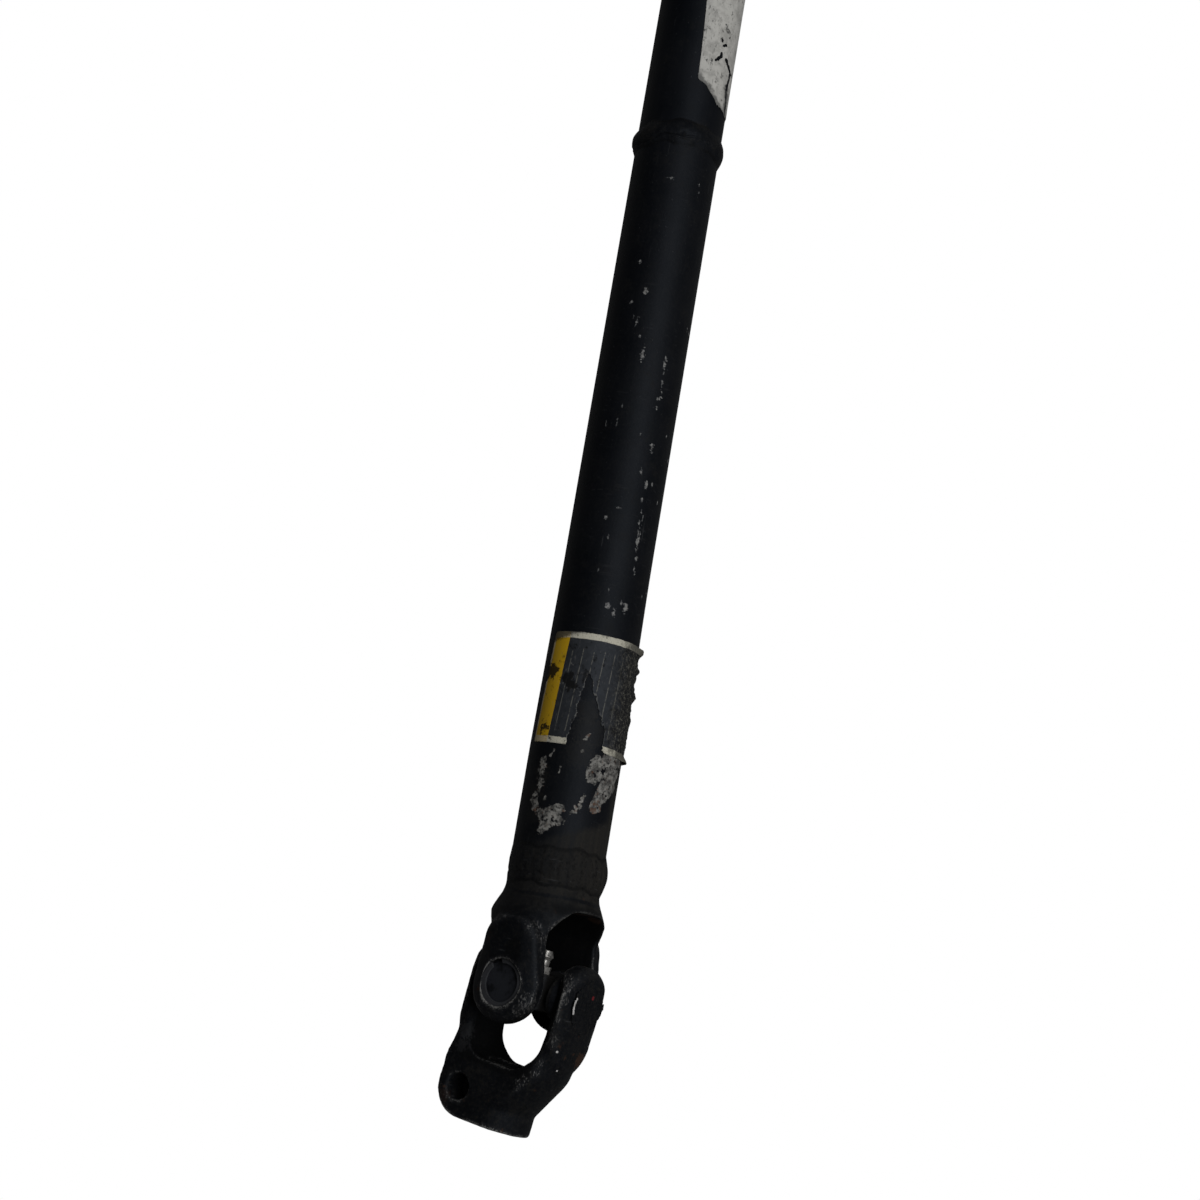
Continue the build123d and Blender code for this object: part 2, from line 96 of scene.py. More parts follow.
class Signal:
    """A number that changes over a surface. Arithmetic on it adds the Math nodes."""

    def __init__(self, finish, socket):
        self.finish = finish
        self.socket = socket

    def math(self, operation, *others):
        """One Math node, with this signal as its first input."""
        return self.finish.math(operation, self, *others)

    def __add__(self, other):
        return self.math("ADD", other)

    def __sub__(self, other):
        return self.math("SUBTRACT", other)

    def __rsub__(self, other):
        return self.finish.math("SUBTRACT", other, self)

    def __neg__(self):
        return 0 - self

    def __mul__(self, other):
        return self.math("MULTIPLY", other)

    def __abs__(self):
        return self.math("ABSOLUTE")

    def either(self, other):
        return self.math("MAXIMUM", other)

    __radd__ = __add__
    __rmul__ = __mul__


def empty_tree(owner):
    """The node tree of a material or world, with nothing in it yet."""
    owner.use_nodes = True
    owner.node_tree.nodes.clear()
    return owner.node_tree


def add_node(tree, kind, inputs=None, **choices):
    """Add a node: its own choices first, then the values or links of its sockets."""
    node = tree.nodes.new(kind)
    for name, value in choices.items():
        setattr(node, name, value)
    for key, value in (inputs or {}).items():
        socket = node.inputs[key]
        if isinstance(value, Signal):
            value = value.socket
        if isinstance(value, bpy.types.NodeSocket):
            tree.links.new(value, socket)
        else:
            socket.default_value = value
    return node


def rgba(colour):
    """Links pass through; plain colours get their alpha."""
    if isinstance(colour, bpy.types.NodeSocket):
        return colour
    return tuple(colour)[:3] + (1.0,)


def shade(colour, factor):
    return [c * factor for c in colour]


class Finish:
    """A material being mixed: coordinates in millimetres, noises and masks, a colour that is
    laid on in layers, and one shader."""

    def __init__(self, name):
        self.material = bpy.data.materials.new(name)
        self.tree = empty_tree(self.material)
        metres = self.node("ShaderNodeTexCoord").outputs["Object"]
        self.place = self.vector("SCALE", metres, Scale=1 / MM)
        split = self.node("ShaderNodeSeparateXYZ", {"Vector": self.place})
        self.x, self.y, self.z = (Signal(self, split.outputs[axis]) for axis in "XYZ")
        self.colour = None

    def node(self, kind, inputs=None, **choices):
        return add_node(self.tree, kind, inputs, **choices)

    def math(self, operation, *values):
        node = self.node("ShaderNodeMath", dict(enumerate(values)), operation=operation)
        return Signal(self, node.outputs[0])

    def vector(self, operation, *values, **named):
        inputs = {**dict(enumerate(values)), **named}
        node = self.node("ShaderNodeVectorMath", inputs, operation=operation)
        return node.outputs["Vector"]

    def noise(self, scale, detail=3.0, roughness=0.55, stretch=(1, 1, 1), at=(0, 0, 0)):
        """Cloudy noise, about 0.5 on average. The scale is in features per millimetre."""
        place = self.vector("ADD", self.vector("MULTIPLY", self.place, stretch), at)
        inputs = {"Vector": place, "Scale": scale, "Detail": detail, "Roughness": roughness}
        return Signal(self, self.node("ShaderNodeTexNoise", inputs).outputs["Fac"])

    def ramp(self, signal, low, high, to_low=0.0, to_high=1.0):
        """A smooth step from one value to another as the signal goes from low to high."""
        inputs = {0: signal, 1: low, 2: high, 3: to_low, 4: to_high}
        node = self.node("ShaderNodeMapRange", inputs, interpolation_type="SMOOTHSTEP")
        return Signal(self, node.outputs[0])

    def mix(self, amount, below, above):
        inputs = {0: amount, 6: rgba(below), 7: rgba(above)}
        return self.node("ShaderNodeMix", inputs, data_type="RGBA").outputs[2]

    def lay(self, amount, colour):
        """Lay a colour over what is there."""
        self.colour = self.mix(amount, self.colour, colour)

    def near(self, place, size, ragged):
        """Mask of a spot round a place, in millimetres, with a ragged rim."""
        inputs = {0: self.place, 1: place}
        node = self.node("ShaderNodeVectorMath", inputs, operation="DISTANCE")
        rim = (self.noise(0.9, 4.0, 0.75, at=(6, 1, 6)) - 0.5) * (ragged * size * 4)
        return self.ramp(Signal(self, node.outputs["Value"]) + rim, size * 1.15, size * 0.85)

    def attribute(self, name):
        node = self.node("ShaderNodeAttribute", attribute_name=name)
        return Signal(self, node.outputs["Fac"])

    def arc(self):
        """Way round the tube in millimetres: 0 at the top, positive towards -Y."""
        return (-self.y).math("ARCTAN2", self.z) * SWELLED_RADIUS

    def finish(self, roughness, height, relief, metallic=0.0):
        """Close the material with a Principled shader; relief is in millimetres."""
        bump = self.node("ShaderNodeBump", {"Distance": relief * MM, "Height": height})
        inputs = {
            "Base Color": self.colour,
            "Roughness": roughness,
            "Metallic": metallic,
            "Specular IOR Level": settings().paint.sheen,
            "Specular Tint": COOL_TINT,
            "Normal": bump.outputs["Normal"],
        }
        shader = self.node("ShaderNodeBsdfPrincipled", inputs)
        self.node("ShaderNodeOutputMaterial", {"Surface": shader.outputs["BSDF"]})
        return self.material


# Settings that a user would change


def tint(name, description, colour):
    return bpy.props.FloatVectorProperty(
        name=name, description=description, default=colour, subtype="COLOR", min=0.0, max=1.0
    )


def length(name, description, millimetres):
    return bpy.props.FloatProperty(
        name=name, description=description, default=millimetres * MM, unit="LENGTH", precision=5
    )


class ShaftPaintSettings(bpy.types.PropertyGroup):
    black: tint("Black", "Satin paint where it is clean", (0.0013, 0.0017, 0.0026))
    faded: tint("Faded", "Paint that is dull and rubbed", (0.0030, 0.0034, 0.0044))
    dust: tint("Dust", "Dry road dust on the paint", (0.0105, 0.0096, 0.0080))
    worn: tint("Worn edge", "Paint rubbed thin on the edges", (0.034, 0.035, 0.037))
    metal: tint("Bare metal", "Steel where the paint has chipped", (0.15, 0.148, 0.143))
    rust: tint("Rust", "Rust where bare metal has stood wet", (0.042, 0.021, 0.012))
    # This near-black tint is also the colour of the painted shade inside the yokes' jaws and along
    # the welds' toes.
    grease: tint("Grease", "Old dark grease", (0.0014, 0.0013, 0.0012))
    # This pale tint also paints a highlight: the glint of the lower clamp's buried snap ring along
    # a short arc.
    chalk: tint("Chalk", "Small pale splashes", (0.42, 0.41, 0.40))
    red: tint("Red dot", "Dab of paint on the clamp yoke", (0.20, 0.016, 0.020))
    stray_chips: bpy.props.IntProperty(
        name="Stray chips", description="Chips round the far side of the tube", default=36, min=0
    )
    sheen: bpy.props.FloatProperty(
        name="Sheen", description="How strongly the paint reflects", default=0.09, min=0.0, max=1.0
    )


class ShaftForgingSettings(bpy.types.PropertyGroup):
    grain: length("Grain", "Size of the mesh on the forged yokes", 0.55)
    skin: length("Skin", "Height of the uneven forged skin", 0.10)
    rounding: bpy.props.IntProperty(
        name="Rounding", description="How strongly outer edges are rounded", default=14, min=0
    )


class ShaftWeldSettings(bpy.types.PropertyGroup):
    height: length("Height", "How far a bead stands off the tube", 1.25)
    width: length("Width", "Width of a butt weld's bead", 13.0)
    ripples: bpy.props.IntProperty(
        name="Ripples", description="Ripples round one bead", default=34, min=4
    )


class ShaftLabelSettings(bpy.types.PropertyGroup):
    yellow: tint("Yellow", "Band along the label's edge", (0.37, 0.225, 0.008))
    slate: tint("Slate", "Main field of the label", (0.0150, 0.0165, 0.0190))
    cream: tint("Cream", "Border of the label", (0.36, 0.345, 0.285))
    residue: tint("Residue", "Old glue and paper left on the paint", (0.128, 0.125, 0.117))
    paper: tint("Paper", "The pale label by the middle weld", (0.34, 0.335, 0.315))
    thickness: length("Thickness", "Thickness of the label film", 0.16)


class ShaftStageSettings(bpy.types.PropertyGroup):
    lens: bpy.props.FloatProperty(
        name="Lens", description="Focal length of the camera", default=62.28, unit="CAMERA"
    )
    key: bpy.props.FloatProperty(
        name="Key light", description="Power of the large soft lamp", default=22.0, unit="POWER"
    )
    room: bpy.props.FloatProperty(
        name="Room light", description="Strength of the even light from the room", default=0.05
    )


def settings():
    return bpy.context.scene.steering_shaft


# Mesh helpers


def new_piece(name, mesh, body, finish):
    """Put a mesh into the scene in its finish, and let it ride on a CAD body."""
    mesh.materials.clear()
    mesh.materials.append(finish)
    piece = bpy.data.objects.new(name, mesh)
    bpy.context.scene.collection.objects.link(piece)
    mesh.shade_smooth()
    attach(piece, body)
    return piece


def mesh_from(name, points, faces):
    mesh = bpy.data.meshes.new(name)
    mesh.from_pydata([tuple(c * MM for c in p) for p in points], [], faces)
    mesh.validate()
    mesh.update()
    return mesh


def remember(mesh, **layers):
    """Keep numbers on a mesh's points, for its material to read."""
    for name, values in layers.items():
        layer = mesh.attributes.new(name, "FLOAT", "POINT")
        layer.data.foreach_set("value", list(values))


def surface_radius(x):
    """Outside radius of the tube at a distance up the shaft."""
    share = min(max((x - SWELL_START) / (SWELL_END - SWELL_START), 0.0), 1.0)
    return SWELLED_RADIUS + (TUBE_RADIUS - SWELLED_RADIUS) * share


def round_the_tube(arc, x, lift):
    """A point on the tube: the arc runs from the top towards -Y, in millimetres."""
    radius = surface_radius(x)
    angle = arc / radius
    reach = radius + lift
    return (x, -reach * math.sin(angle), reach * math.cos(angle))


def speckle(arc, x, size, seed):
    """Smooth noise between about -0.5 and 0.5, with features of the given size."""
    return noise.fractal(Vector((arc / size, x / size, seed)), 0.9, 2.0, 4) * 0.6


def bounded_sheet(field, arcs, xs, step):
    """Flat outline to mesh: the part of a grid where the field is positive, with its rim cut
    through the cells, so a torn edge is ragged but not stepped. Returns (arc, x) points, faces."""
    columns = int(round((arcs[1] - arcs[0]) / step)) + 1
    rows = int(round((xs[1] - xs[0]) / step)) + 1
    points, index, faces = [], {}, []

    def at(i, j):
        return (arcs[0] + i * step, xs[0] + j * step)

    def number(key, point):
        if key not in index:
            index[key] = len(points)
            points.append(point)
        return index[key]

    def crossing(a, b):
        """Where the field is nought between two corners, a little off either of them."""
        va, vb = value[a[0]][a[1]], value[b[0]][b[1]]
        share = min(max(va / (va - vb), 0.08), 0.92)
        pa, pb = at(*a), at(*b)
        return (pa[0] + (pb[0] - pa[0]) * share, pa[1] + (pb[1] - pa[1]) * share)

    value = [[field(*at(i, j)) for j in range(rows)] for i in range(columns)]
    for i in range(columns - 1):
        for j in range(rows - 1):
            ring = [(i, j), (i + 1, j), (i + 1, j + 1), (i, j + 1)]
            inside = [value[a][b] > 0 for a, b in ring]
            if not any(inside):
                continue
            face = []
            for k in range(4):
                here, ahead = ring[k], ring[(k + 1) % 4]
                if inside[k]:
                    face.append(number(here, at(*here)))
                if inside[k] != inside[(k + 1) % 4]:
                    edge = (min(here, ahead), max(here, ahead))
                    face.append(number(edge, crossing(here, ahead)))
            if len(face) > 2:
                faces.append(face)
    return points, faces


def film(name, sheets, lift, thickness, body, finish, place=round_the_tube):
    """Thin sheets in one mesh, as thick as said, whose undersides follow the tube or whatever
    else is given. Each point remembers how far inside its sheet's outline it lies."""
    top, under, walls, faces, inset = [], [], [], [], []
    for field, arcs, xs, step in sheets:
        flat, cells = bounded_sheet(field, arcs, xs, step)
        first = len(top)
        top += [place(a, x, lift(a, x) + thickness) for a, x in flat]
        under += [place(a, x, lift(a, x) * 0.9 + 0.01) for a, x in flat]
        inset += [max(field(a, x), 0.0) for a, x in flat]
        cells = [[v + first for v in cell] for cell in cells]
        edges = {(a, b) for cell in cells for a, b in zip(cell, cell[1:] + cell[:1])}
        walls += sorted((a, b) for a, b in edges if (b, a) not in edges)
        faces += cells
    count = len(top)
    sides = [(b, a, a + count, b + count) for a, b in walls]
    backs = [[v + count for v in reversed(face)] for face in faces]
    mesh = mesh_from(name, top + under, [list(reversed(f)) for f in faces + backs + sides])
    remember(mesh, inset=inset + inset)
    new_piece(name, mesh, body, finish)


def from_line(line, arc, x):
    """Distance to a chain of straight pieces."""
    best = math.inf
    for (ax, ay), (bx, by) in zip(line, line[1:]):
        ex, ey = bx - ax, by - ay
        share = ((arc - ax) * ex + (x - ay) * ey) / (ex * ex + ey * ey)
        share = min(max(share, 0.0), 1.0)
        best = min(best, math.hypot(arc - ax - share * ex, x - ay - share * ey))
    return best


def inside_outline(corners, arc, x):
    """Signed distance to a closed outline: positive inside."""
    ring = corners + corners[:1]
    inside = False
    for (ax, ay), (bx, by) in zip(ring, ring[1:]):
        if (ay > x) != (by > x) and arc < (bx - ax) * (x - ay) / (by - ay) + ax:
            inside = not inside
    away = from_line(ring, arc, x)
    return away if inside else -away


# Finishes


def black_paint(name, edge_wear=False, dusty=0.35, dust_mask=None, greasy=0.0, coarse=0.0,
                rusty=0.45, spots=(), scuffs=()):
    """Old satin black paint on steel: faded, dusty, scratched and rubbed. Coarse paint is gritty
    all over. Scuffs are (place, size, raggedness); spots also have a strength and a colour."""
    paint = settings().paint
    f = Finish(name)
    cloud = f.noise(0.045, 3.0, 0.6)
    streaks = f.noise(0.5, 3.0, 0.6, stretch=(0.06, 1.0, 1.0))
    fine = f.noise(2.2, 3.0, 0.65)
    tone = f.ramp(cloud * 0.6 + streaks * 0.25 + fine * 0.15, 0.36, 0.64)
    f.colour = f.mix(tone, paint.black, paint.faded)
    grit = f.noise(1.1, 6.0, 0.85, at=(13, 2, 8))
    dust = f.ramp(f.noise(0.11, 5.0, 0.7) + (grit - 0.5) * 0.8, 0.50, 0.80) * dusty
    dust = dust.either(f.ramp(grit, 0.60, 0.70) * dusty * 0.8)
    f.lay(dust, paint.dust)
    if dust_mask:
        settled = dust_mask(f, cloud, fine) * (0.70 + 1.2 * (streaks - 0.5) + 1.6 * (grit - 0.5))
        f.lay(settled, shade(paint.dust, 1.55))
        dust = dust.either(settled)
    rough = 0.50 + dust * 0.30 + fine * 0.12
    hairs = f.noise(1.4, 2.0, 0.5, stretch=(0.035, 1.0, 1.0), at=(7, 3, 1))
    scratch = f.ramp(hairs, 0.70, 0.72) * f.ramp(f.noise(0.05, 2.0, at=(40, 0, 9)), 0.52, 0.62)
    f.lay(scratch * 0.35, paint.worn)
    flecks = f.ramp(f.noise(1.3, 1.0, 0.4, at=(11, 4, 6)), 0.765, 0.785)
    f.lay(flecks * 0.6, paint.worn)
    height = f.noise(0.9, 2.0, 0.5) * 0.5 + fine * 0.25 - scratch * 0.2
    if coarse:
        grain = f.noise(0.55, 6.0, 0.9, at=(21, 6, 2))
        f.lay(f.ramp(grain, 0.51, 0.60) * coarse * 0.8, paint.dust)
        f.lay(f.ramp(grain, 0.48, 0.41) * coarse * 0.8, paint.grease)
        crossed = f.noise(1.1, 2.0, 0.5, stretch=(1.0, 0.06, 0.3), at=(2, 5, 8))
        nicks = f.ramp(crossed, 0.66, 0.69) * f.ramp(f.noise(0.07, 2.0, at=(4, 30, 9)), 0.50, 0.58)
        f.lay(nicks * coarse * 0.5, paint.worn)
        height = height + grain * 3.2 * coarse
    if edge_wear:
        patchy = (f.noise(0.10, 2.0, 0.5, at=(9, 0, 4)) - 0.5) * 0.9
        ridge = f.attribute("ridge") + (f.noise(0.7, 4.0, 0.7) - 0.5) * 0.75 + patchy
        rubbed = f.ramp(ridge, 0.25, 0.85)
        bare = f.ramp(ridge + (f.noise(1.6, 4.0, 0.8, at=(5, 5, 5)) - 0.5) * 2.2, 0.78, 0.92)
        f.lay(rubbed * 0.22, paint.worn)
        f.lay(bare * 0.80, paint.metal)
        rough = rough - rubbed * 0.06
        height = height - bare * 0.25
        # Painted shade: the ears' faces that look into the jaw and the welds' toes are darkened to
        # near black and kept free of rust.
        inner = f.attribute("inner")
        f.lay(inner * (0.75 + 0.5 * (cloud - 0.5)), paint.grease)
        damp = f.noise(0.16, 3.0, 0.6, at=(3, 17, 2))
        rust = f.ramp(damp + (fine - 0.5) * 0.2, 0.66, 0.72) * (1 - inner)
        f.lay(rust * rusty, paint.rust)
        rough = rough + rust * 0.25
    if scuffs:
        where = f.near(*scuffs[0])
        for scuff in scuffs[1:]:
            where = where.either(f.near(*scuff))
        strokes = f.noise(1.5, 4.0, 0.8, stretch=(0.35, 1.0, 1.0), at=(8, 1, 5))
        f.lay(where * f.ramp(strokes, 0.53, 0.60) * 0.50, paint.metal)
    for place, size, ragged, strength, colour in spots:
        f.lay(f.near(place, size, ragged) * strength, colour)
    if greasy:
        wet = f.ramp(f.noise(0.12, 4.0, 0.6, at=(1, 2, 30)), 0.5, 0.66) * greasy
        f.lay(wet, paint.grease)
        rough = rough - wet * 0.12
    return f.finish(rough, height, 0.09)


def steel(name, colour, roughness, grime, metallic, relief, stretch=(1, 1, 1)):
    """Bare steel with turning or drawing marks and grime lying in them."""
    f = Finish(name)
    marks = f.noise(2.4, 3.0, 0.6, stretch=stretch)
    cloud = f.noise(0.16, 4.0, 0.65)
    dirt = f.ramp(cloud + (marks - 0.5) * 0.3, 0.44, 0.66) * grime
    f.colour = f.mix(f.ramp(marks, 0.35, 0.65), shade(colour, 0.8), colour)
    f.lay(dirt, settings().paint.grease)
    rough = roughness + (marks - 0.5) * 0.15 + dirt * 0.15
    return f.finish(rough, marks, relief, metallic * (1 - dirt))


def rubber(name):
    f = Finish(name)
    fine = f.noise(1.8, 3.0, 0.6)
    bloom = f.ramp(f.noise(0.3, 4.0, 0.6), 0.5, 0.75)
    f.colour = f.mix(bloom, (0.010, 0.010, 0.010), (0.028, 0.027, 0.025))
    return f.finish(0.62 + bloom * 0.2, fine, 0.04)


def chipped_paint():
    """Grey metal in a chip, with thin worn paint along its rim."""
    paint = settings().paint
    f = Finish("Chipped paint")
    fine = f.noise(2.6, 3.0, 0.7)
    thin = f.ramp(f.attribute("inset") + (fine - 0.5) * 1.1, 0.10, 0.45)
    f.colour = f.mix(thin, paint.worn, paint.metal)
    f.lay(f.ramp(fine, 0.56, 0.62) * 0.6, paint.faded)
    return f.finish(0.55, fine, 0.03)


def glue_residue():
    """Pale glue that has worn thin, with rust by its lower right end."""
    pale, paint = settings().label.residue, settings().paint
    f = Finish("Glue residue")
    cloud = f.noise(0.35, 5.0, 0.7)
    fine = f.noise(2.0, 4.0, 0.7)
    f.colour = f.mix(f.ramp(cloud, 0.38, 0.66), shade(pale, 0.3), shade(pale, 1.4))
    f.lay(f.ramp(fine, 0.60, 0.66) * 0.75, paint.faded)
    f.lay(f.ramp(f.attribute("inset"), 0.25, 0.05) * 0.6, paint.faded)
    low_right = f.ramp(f.x, 82.0, 74.0) * f.ramp(-f.y, 6.0, 9.0)
    rust = f.ramp(f.noise(0.45, 3.0, 0.6, at=(8, 8, 8)) + low_right * 0.16, 0.60, 0.68)
    f.lay(rust * 0.7, shade(paint.rust, 1.5))
    return f.finish(0.7, fine, 0.05)


def pale_label():
    """Blank pale film, rubbed and smeared, frayed at its lower edge."""
    pale, paint = settings().label.paper, settings().paint
    f = Finish("Upper label")
    cloud = f.noise(0.2, 5.0, 0.7)
    fine = f.noise(1.5, 4.0, 0.7)
    rubbed = f.noise(0.9, 4.0, 0.7, stretch=(0.3, 1, 1))
    f.colour = f.mix(f.ramp(cloud, 0.4, 0.65), pale, shade(pale, 0.72))
    marks = f.ramp(rubbed, 0.58, 0.66).either(f.ramp(fine, 0.66, 0.7))
    f.lay(marks * 0.75, shade(pale, 0.3))
    smear = f.ramp(f.noise(0.3, 5.0, 0.75, at=(3, 9, 1)), 0.58, 0.66)
    frayed = f.ramp(f.attribute("inset") + (cloud - 0.5) * 9.0, 2.4, 0.6)
    frayed = frayed * f.ramp(f.x, 413.0, 409.0)
    f.lay(smear.either(frayed * 0.8) * 0.85, paint.faded)
    return f.finish(0.5 + cloud * 0.2, fine, 0.04)


def settled_dust(f, cloud, fine):
    """Mask of the dust near the lower weld, whose upper edge runs slanting round the tube."""
    arc = f.arc()
    edge = f.x - DUST_END - arc * DUST_SLANT + (cloud - 0.5) * 6.0 + (fine - 0.5) * 4.0
    low = f.ramp(edge, 2.0, -2.0) * f.ramp(arc, -16.0, 18.0, 0.25, 1.0)
    side = f.ramp(arc + (fine - 0.5) * 5.0, 20.0, 25.0) * f.ramp(f.x, 106.0, 96.0)
    return low.either(side * 0.8)


def hub_dust(f, cloud, fine):
    """Mask of the dust on the tube yoke's hub: it thins out towards the ears, and a clean line
    runs through it at the seam."""
    along = f.ramp(f.x + (cloud - 0.5) * 10.0 + (fine - 0.5) * 6.0, 24.0, 42.0)
    seam = abs(f.x - HUB_SEAM + (cloud - 0.5) * 5.0 + (fine - 0.5) * 1.5)
    ends = along * f.ramp(seam, 0.5, 1.1) * f.ramp(f.x, 90.0, 70.0)
    return ends * f.ramp(f.arc(), -20.0, 14.0, 0.45, 1.0)


# Pieces


def dress(patterns, material):
    """Give a finish to the CAD nodes whose names fit a pattern."""
    for name, node in frame["nodes"].items():
        if any(fnmatchcase(name, pattern) for pattern in patterns.split()):
            node.data.materials.clear()
            node.data.materials.append(material)


# Steel nodes: their names, then the name of the finish and what steel() takes
STEELS = (
    ("*_cup_*", "Cup ends", (0.0135, 0.0145, 0.0175), 0.55, 0.75, 0.0, 0.05),
    ("*_snap_ring_*", "Spring steel", (0.030, 0.031, 0.034), 0.45, 0.2, 0.0, 0.02),
    ("*_needles_*", "Needle steel", (0.45, 0.45, 0.45), 0.22, 0.2, 0.9, 0.02),
    ("*_cross sleeve_plug", "Cross forging", (0.008, 0.0075, 0.007), 0.5, 0.7, 0.0, 0.06),
    ("*_grease_fitting", "Zinc plate", (0.36, 0.35, 0.33), 0.4, 0.92, 0.85, 0.02),
    ("spline_shaft", "Greased spline", (0.34, 0.32, 0.29), 0.28, 0.75, 0.9, 0.02, (0.1, 1, 1)),
)
# Thin glue on the tube: arc, distance up the shaft, size
GLUE_FILMS = (
    (2.0, 116.0, 5.0), (4.0, 107.0, 7.0), (2.0, 98.0, 6.0),
    (-14.0, 88.0, 4.0), (-16.0, 80.0, 4.0), (-15.0, 71.0, 4.0),
)


class SHAFT_OT_finish_nodes(bpy.types.Operator):
    """Paint, steel, rubber and plating on the CAD nodes that stay"""

    bl_idname = "shaft.finish_nodes"
    bl_label = "Finish the CAD nodes"

    def execute(self, context):
        glue = shade(settings().paint.dust, 1.2)
        films = [(round_the_tube(arc, x, 0), size, 0.9, 0.30, glue) for arc, x, size in GLUE_FILMS]
        tube = black_paint("Tube paint", dust_mask=settled_dust, coarse=0.25, spots=films)
        dress("main_tube", tube)
        dress("slip_sleeve dust_cap", black_paint("Sleeve paint", dusty=0.3))
        dress("*_seal*", rubber("Seal rubber"))
        for patterns, *row in STEELS:
            dress(patterns, steel(*row))
        return {"FINISHED"}


def smooth_positions(points, edges, rounds, weight):
    """Move each point towards the mean of its neighbours, by its weight, so many times."""
    a, b = edges[:, 0], edges[:, 1]
    count = len(points)
    degree = np.bincount(a, minlength=count) + np.bincount(b, minlength=count)
    for _ in range(rounds):
        total = np.empty_like(points)
        for axis in range(3):
            total[:, axis] = np.bincount(a, points[b, axis], count) + np.bincount(
                b, points[a, axis], count
            )
        mean = total / degree[:, None]
        points = points + (mean - points) * weight[:, None]
    return points


def fade(values, start, width):
    """0 at the start and 1 a width further on; a width below nought runs downwards."""
    return np.clip((values - start) / width, 0.0, 1.0)


def read_rows(items, field, kind, width):
    """A mesh's numbers as an array, so many to a row."""
    flat = np.empty(len(items) * width, kind)
    items.foreach_get(field, flat)
    return flat.reshape(-1, width)


def voxel_copy(node, grain):
    """A CAD node's mesh, made anew on a fine even grid."""
    mesh = frame["nodes"][node].data.copy()
    welded = bmesh.new()
    welded.from_mesh(mesh)
    bmesh.ops.remove_doubles(welded, verts=welded.verts, dist=1e-6)
    welded.to_mesh(mesh)
    welded.free()
    draft = bpy.data.objects.new(f"{node}_draft", mesh)
    bpy.context.scene.collection.objects.link(draft)
    remesh = draft.modifiers.new("Even grid", "REMESH")
    remesh.mode = "VOXEL"
    remesh.voxel_size = grain
    shaped = bpy.data.meshes.new_from_object(
        draft.evaluated_get(bpy.context.evaluated_depsgraph_get())
    )
    bpy.data.objects.remove(draft)
    return shaped


def forged_copy(node, centre, bore, hub, hub_bore, stub, blend):
    """A yoke's CAD mesh on a fine even grid, its outer edges rounded and its skin uneven.
    Machined bores and faces keep their shape, and where it is asked for, each arm runs softly
    into the hub as far as the two blend heights. Distances are in millimetres."""
    options = settings().forging
    shaped = voxel_copy(node, options.grain)
    points = read_rows(shaped.vertices, "co", np.float64, 3) / MM
    edges = read_rows(shaped.edges, "vertices", np.int64, 2)

    local = points - np.array(centre)
    along_bore = local @ np.array(bore)
    along_hub = local @ np.array(hub)
    from_bore = np.linalg.norm(local - along_bore[:, None] * np.array(bore), axis=1)
    from_hub = np.linalg.norm(local - along_hub[:, None] * np.array(hub), axis=1)
    keep = fade(from_bore, EAR_BORE, 2.0)
    in_hub = np.minimum(keep, fade(from_hub, hub_bore, 1.5))
    keep = np.where(along_hub > HUB_START, in_hub, keep)
    if stub:
        keep = np.where(along_hub > stub, 0.0, keep)
    gentle = np.full(len(points), 0.5)
    points = smooth_positions(points, edges, 2, gentle)
    rounded = smooth_positions(points, edges, options.rounding, 0.5 * keep)
    if blend:
        # Only outside the ears' inner faces, between the bores and the blend's two ends
        sides = np.where(along_bore > 0, blend[0], blend[1])
        near = fade(np.abs(along_bore), 15.0, 3.0) * fade(along_hub, 18.0, 4.0)
        near *= fade(along_hub, sides, -5.0)
        rounded = smooth_positions(rounded, edges, 90, 0.5 * keep * near)
    blurred = smooth_positions(rounded, edges, 40, gentle)

    shaped.vertices.foreach_set("co", (rounded * MM).ravel())
    shaped.update()
    normals = read_rows(shaped.vertices, "normal", np.float64, 3)
    ridge = np.einsum("ij,ij->i", rounded - blurred, normals)
    bumps = np.array([noise.fractal(Vector(p) * 0.16, 0.9, 2.1, 3) for p in rounded.tolist()])
    rough = rounded + normals * (bumps * (options.skin / MM) * keep)[:, None]
    shaped.vertices.foreach_set("co", (rough * MM).ravel())
    ridge /= np.percentile(ridge, 98)
    if blend:
        ridge *= fade(from_bore, 11.5, 1.5)
    # Painted shade: a mask of the ears' faces that look into the jaw, within the arms, for the
    # paint to darken.
    inner = fade(np.abs(along_bore), EAR_INNER_FACE, -1.0) * fade(along_hub, ARM_END, -2.0)
    remember(shaped, ridge=np.clip(ridge, 0.0, 1.0), inner=inner)
    shaped.update()
    return shaped


def joint_axis(name):
    return Vector(joints[name]["axis"])


# Marks and scuffs on the yokes: place, size and raggedness, then a mark's strength and colour
SHAFT_YOKE_MARKS = (
    ((33.0, -14.0, 9.5), 4.0, 0.4, 0.5, "rust"),
    ((32.3, -19.0, 0.9), 3.0, 0.4, 0.4, "rust"),
)
SHAFT_YOKE_SCUFFS = (
    ((-5.5, 2.6, 27.0), 3.4, 0.5), ((-10.0, 5.0, 26.5), 3.0, 0.5), ((-8.2, 1.2, 25.9), 2.6, 0.5),
    ((24.8, 4.2, 25.1), 2.2, 0.5), ((20.0, 1.5, 25.3), 2.6, 0.5), ((15.0, 1.0, 25.0), 1.6, 0.5),
    ((19.7, -0.6, 23.1), 2.4, 0.5),
)
CLAMP_YOKE_MARKS = (
    ((-25.4, -22.1, 8.5), 3.0, 0.9, 0.6, "rust"),
    ((-48.6, 31.7, -4.3), 4.0, 0.8, 0.16, "rust"),
    ((-20.7, 25.8, -2.1), 3.2, 1.0, 0.35, "worn"),
    ((-26.9, 26.3, -1.0), 2.8, 1.0, 0.25, "worn"),
    ((-23.4, -12.5, 21.4), 0.5, 0.1, 1.0, "chalk"),
    ((-30.8, -13.8, 16.5), 0.45, 0.1, 1.0, "chalk"),
)
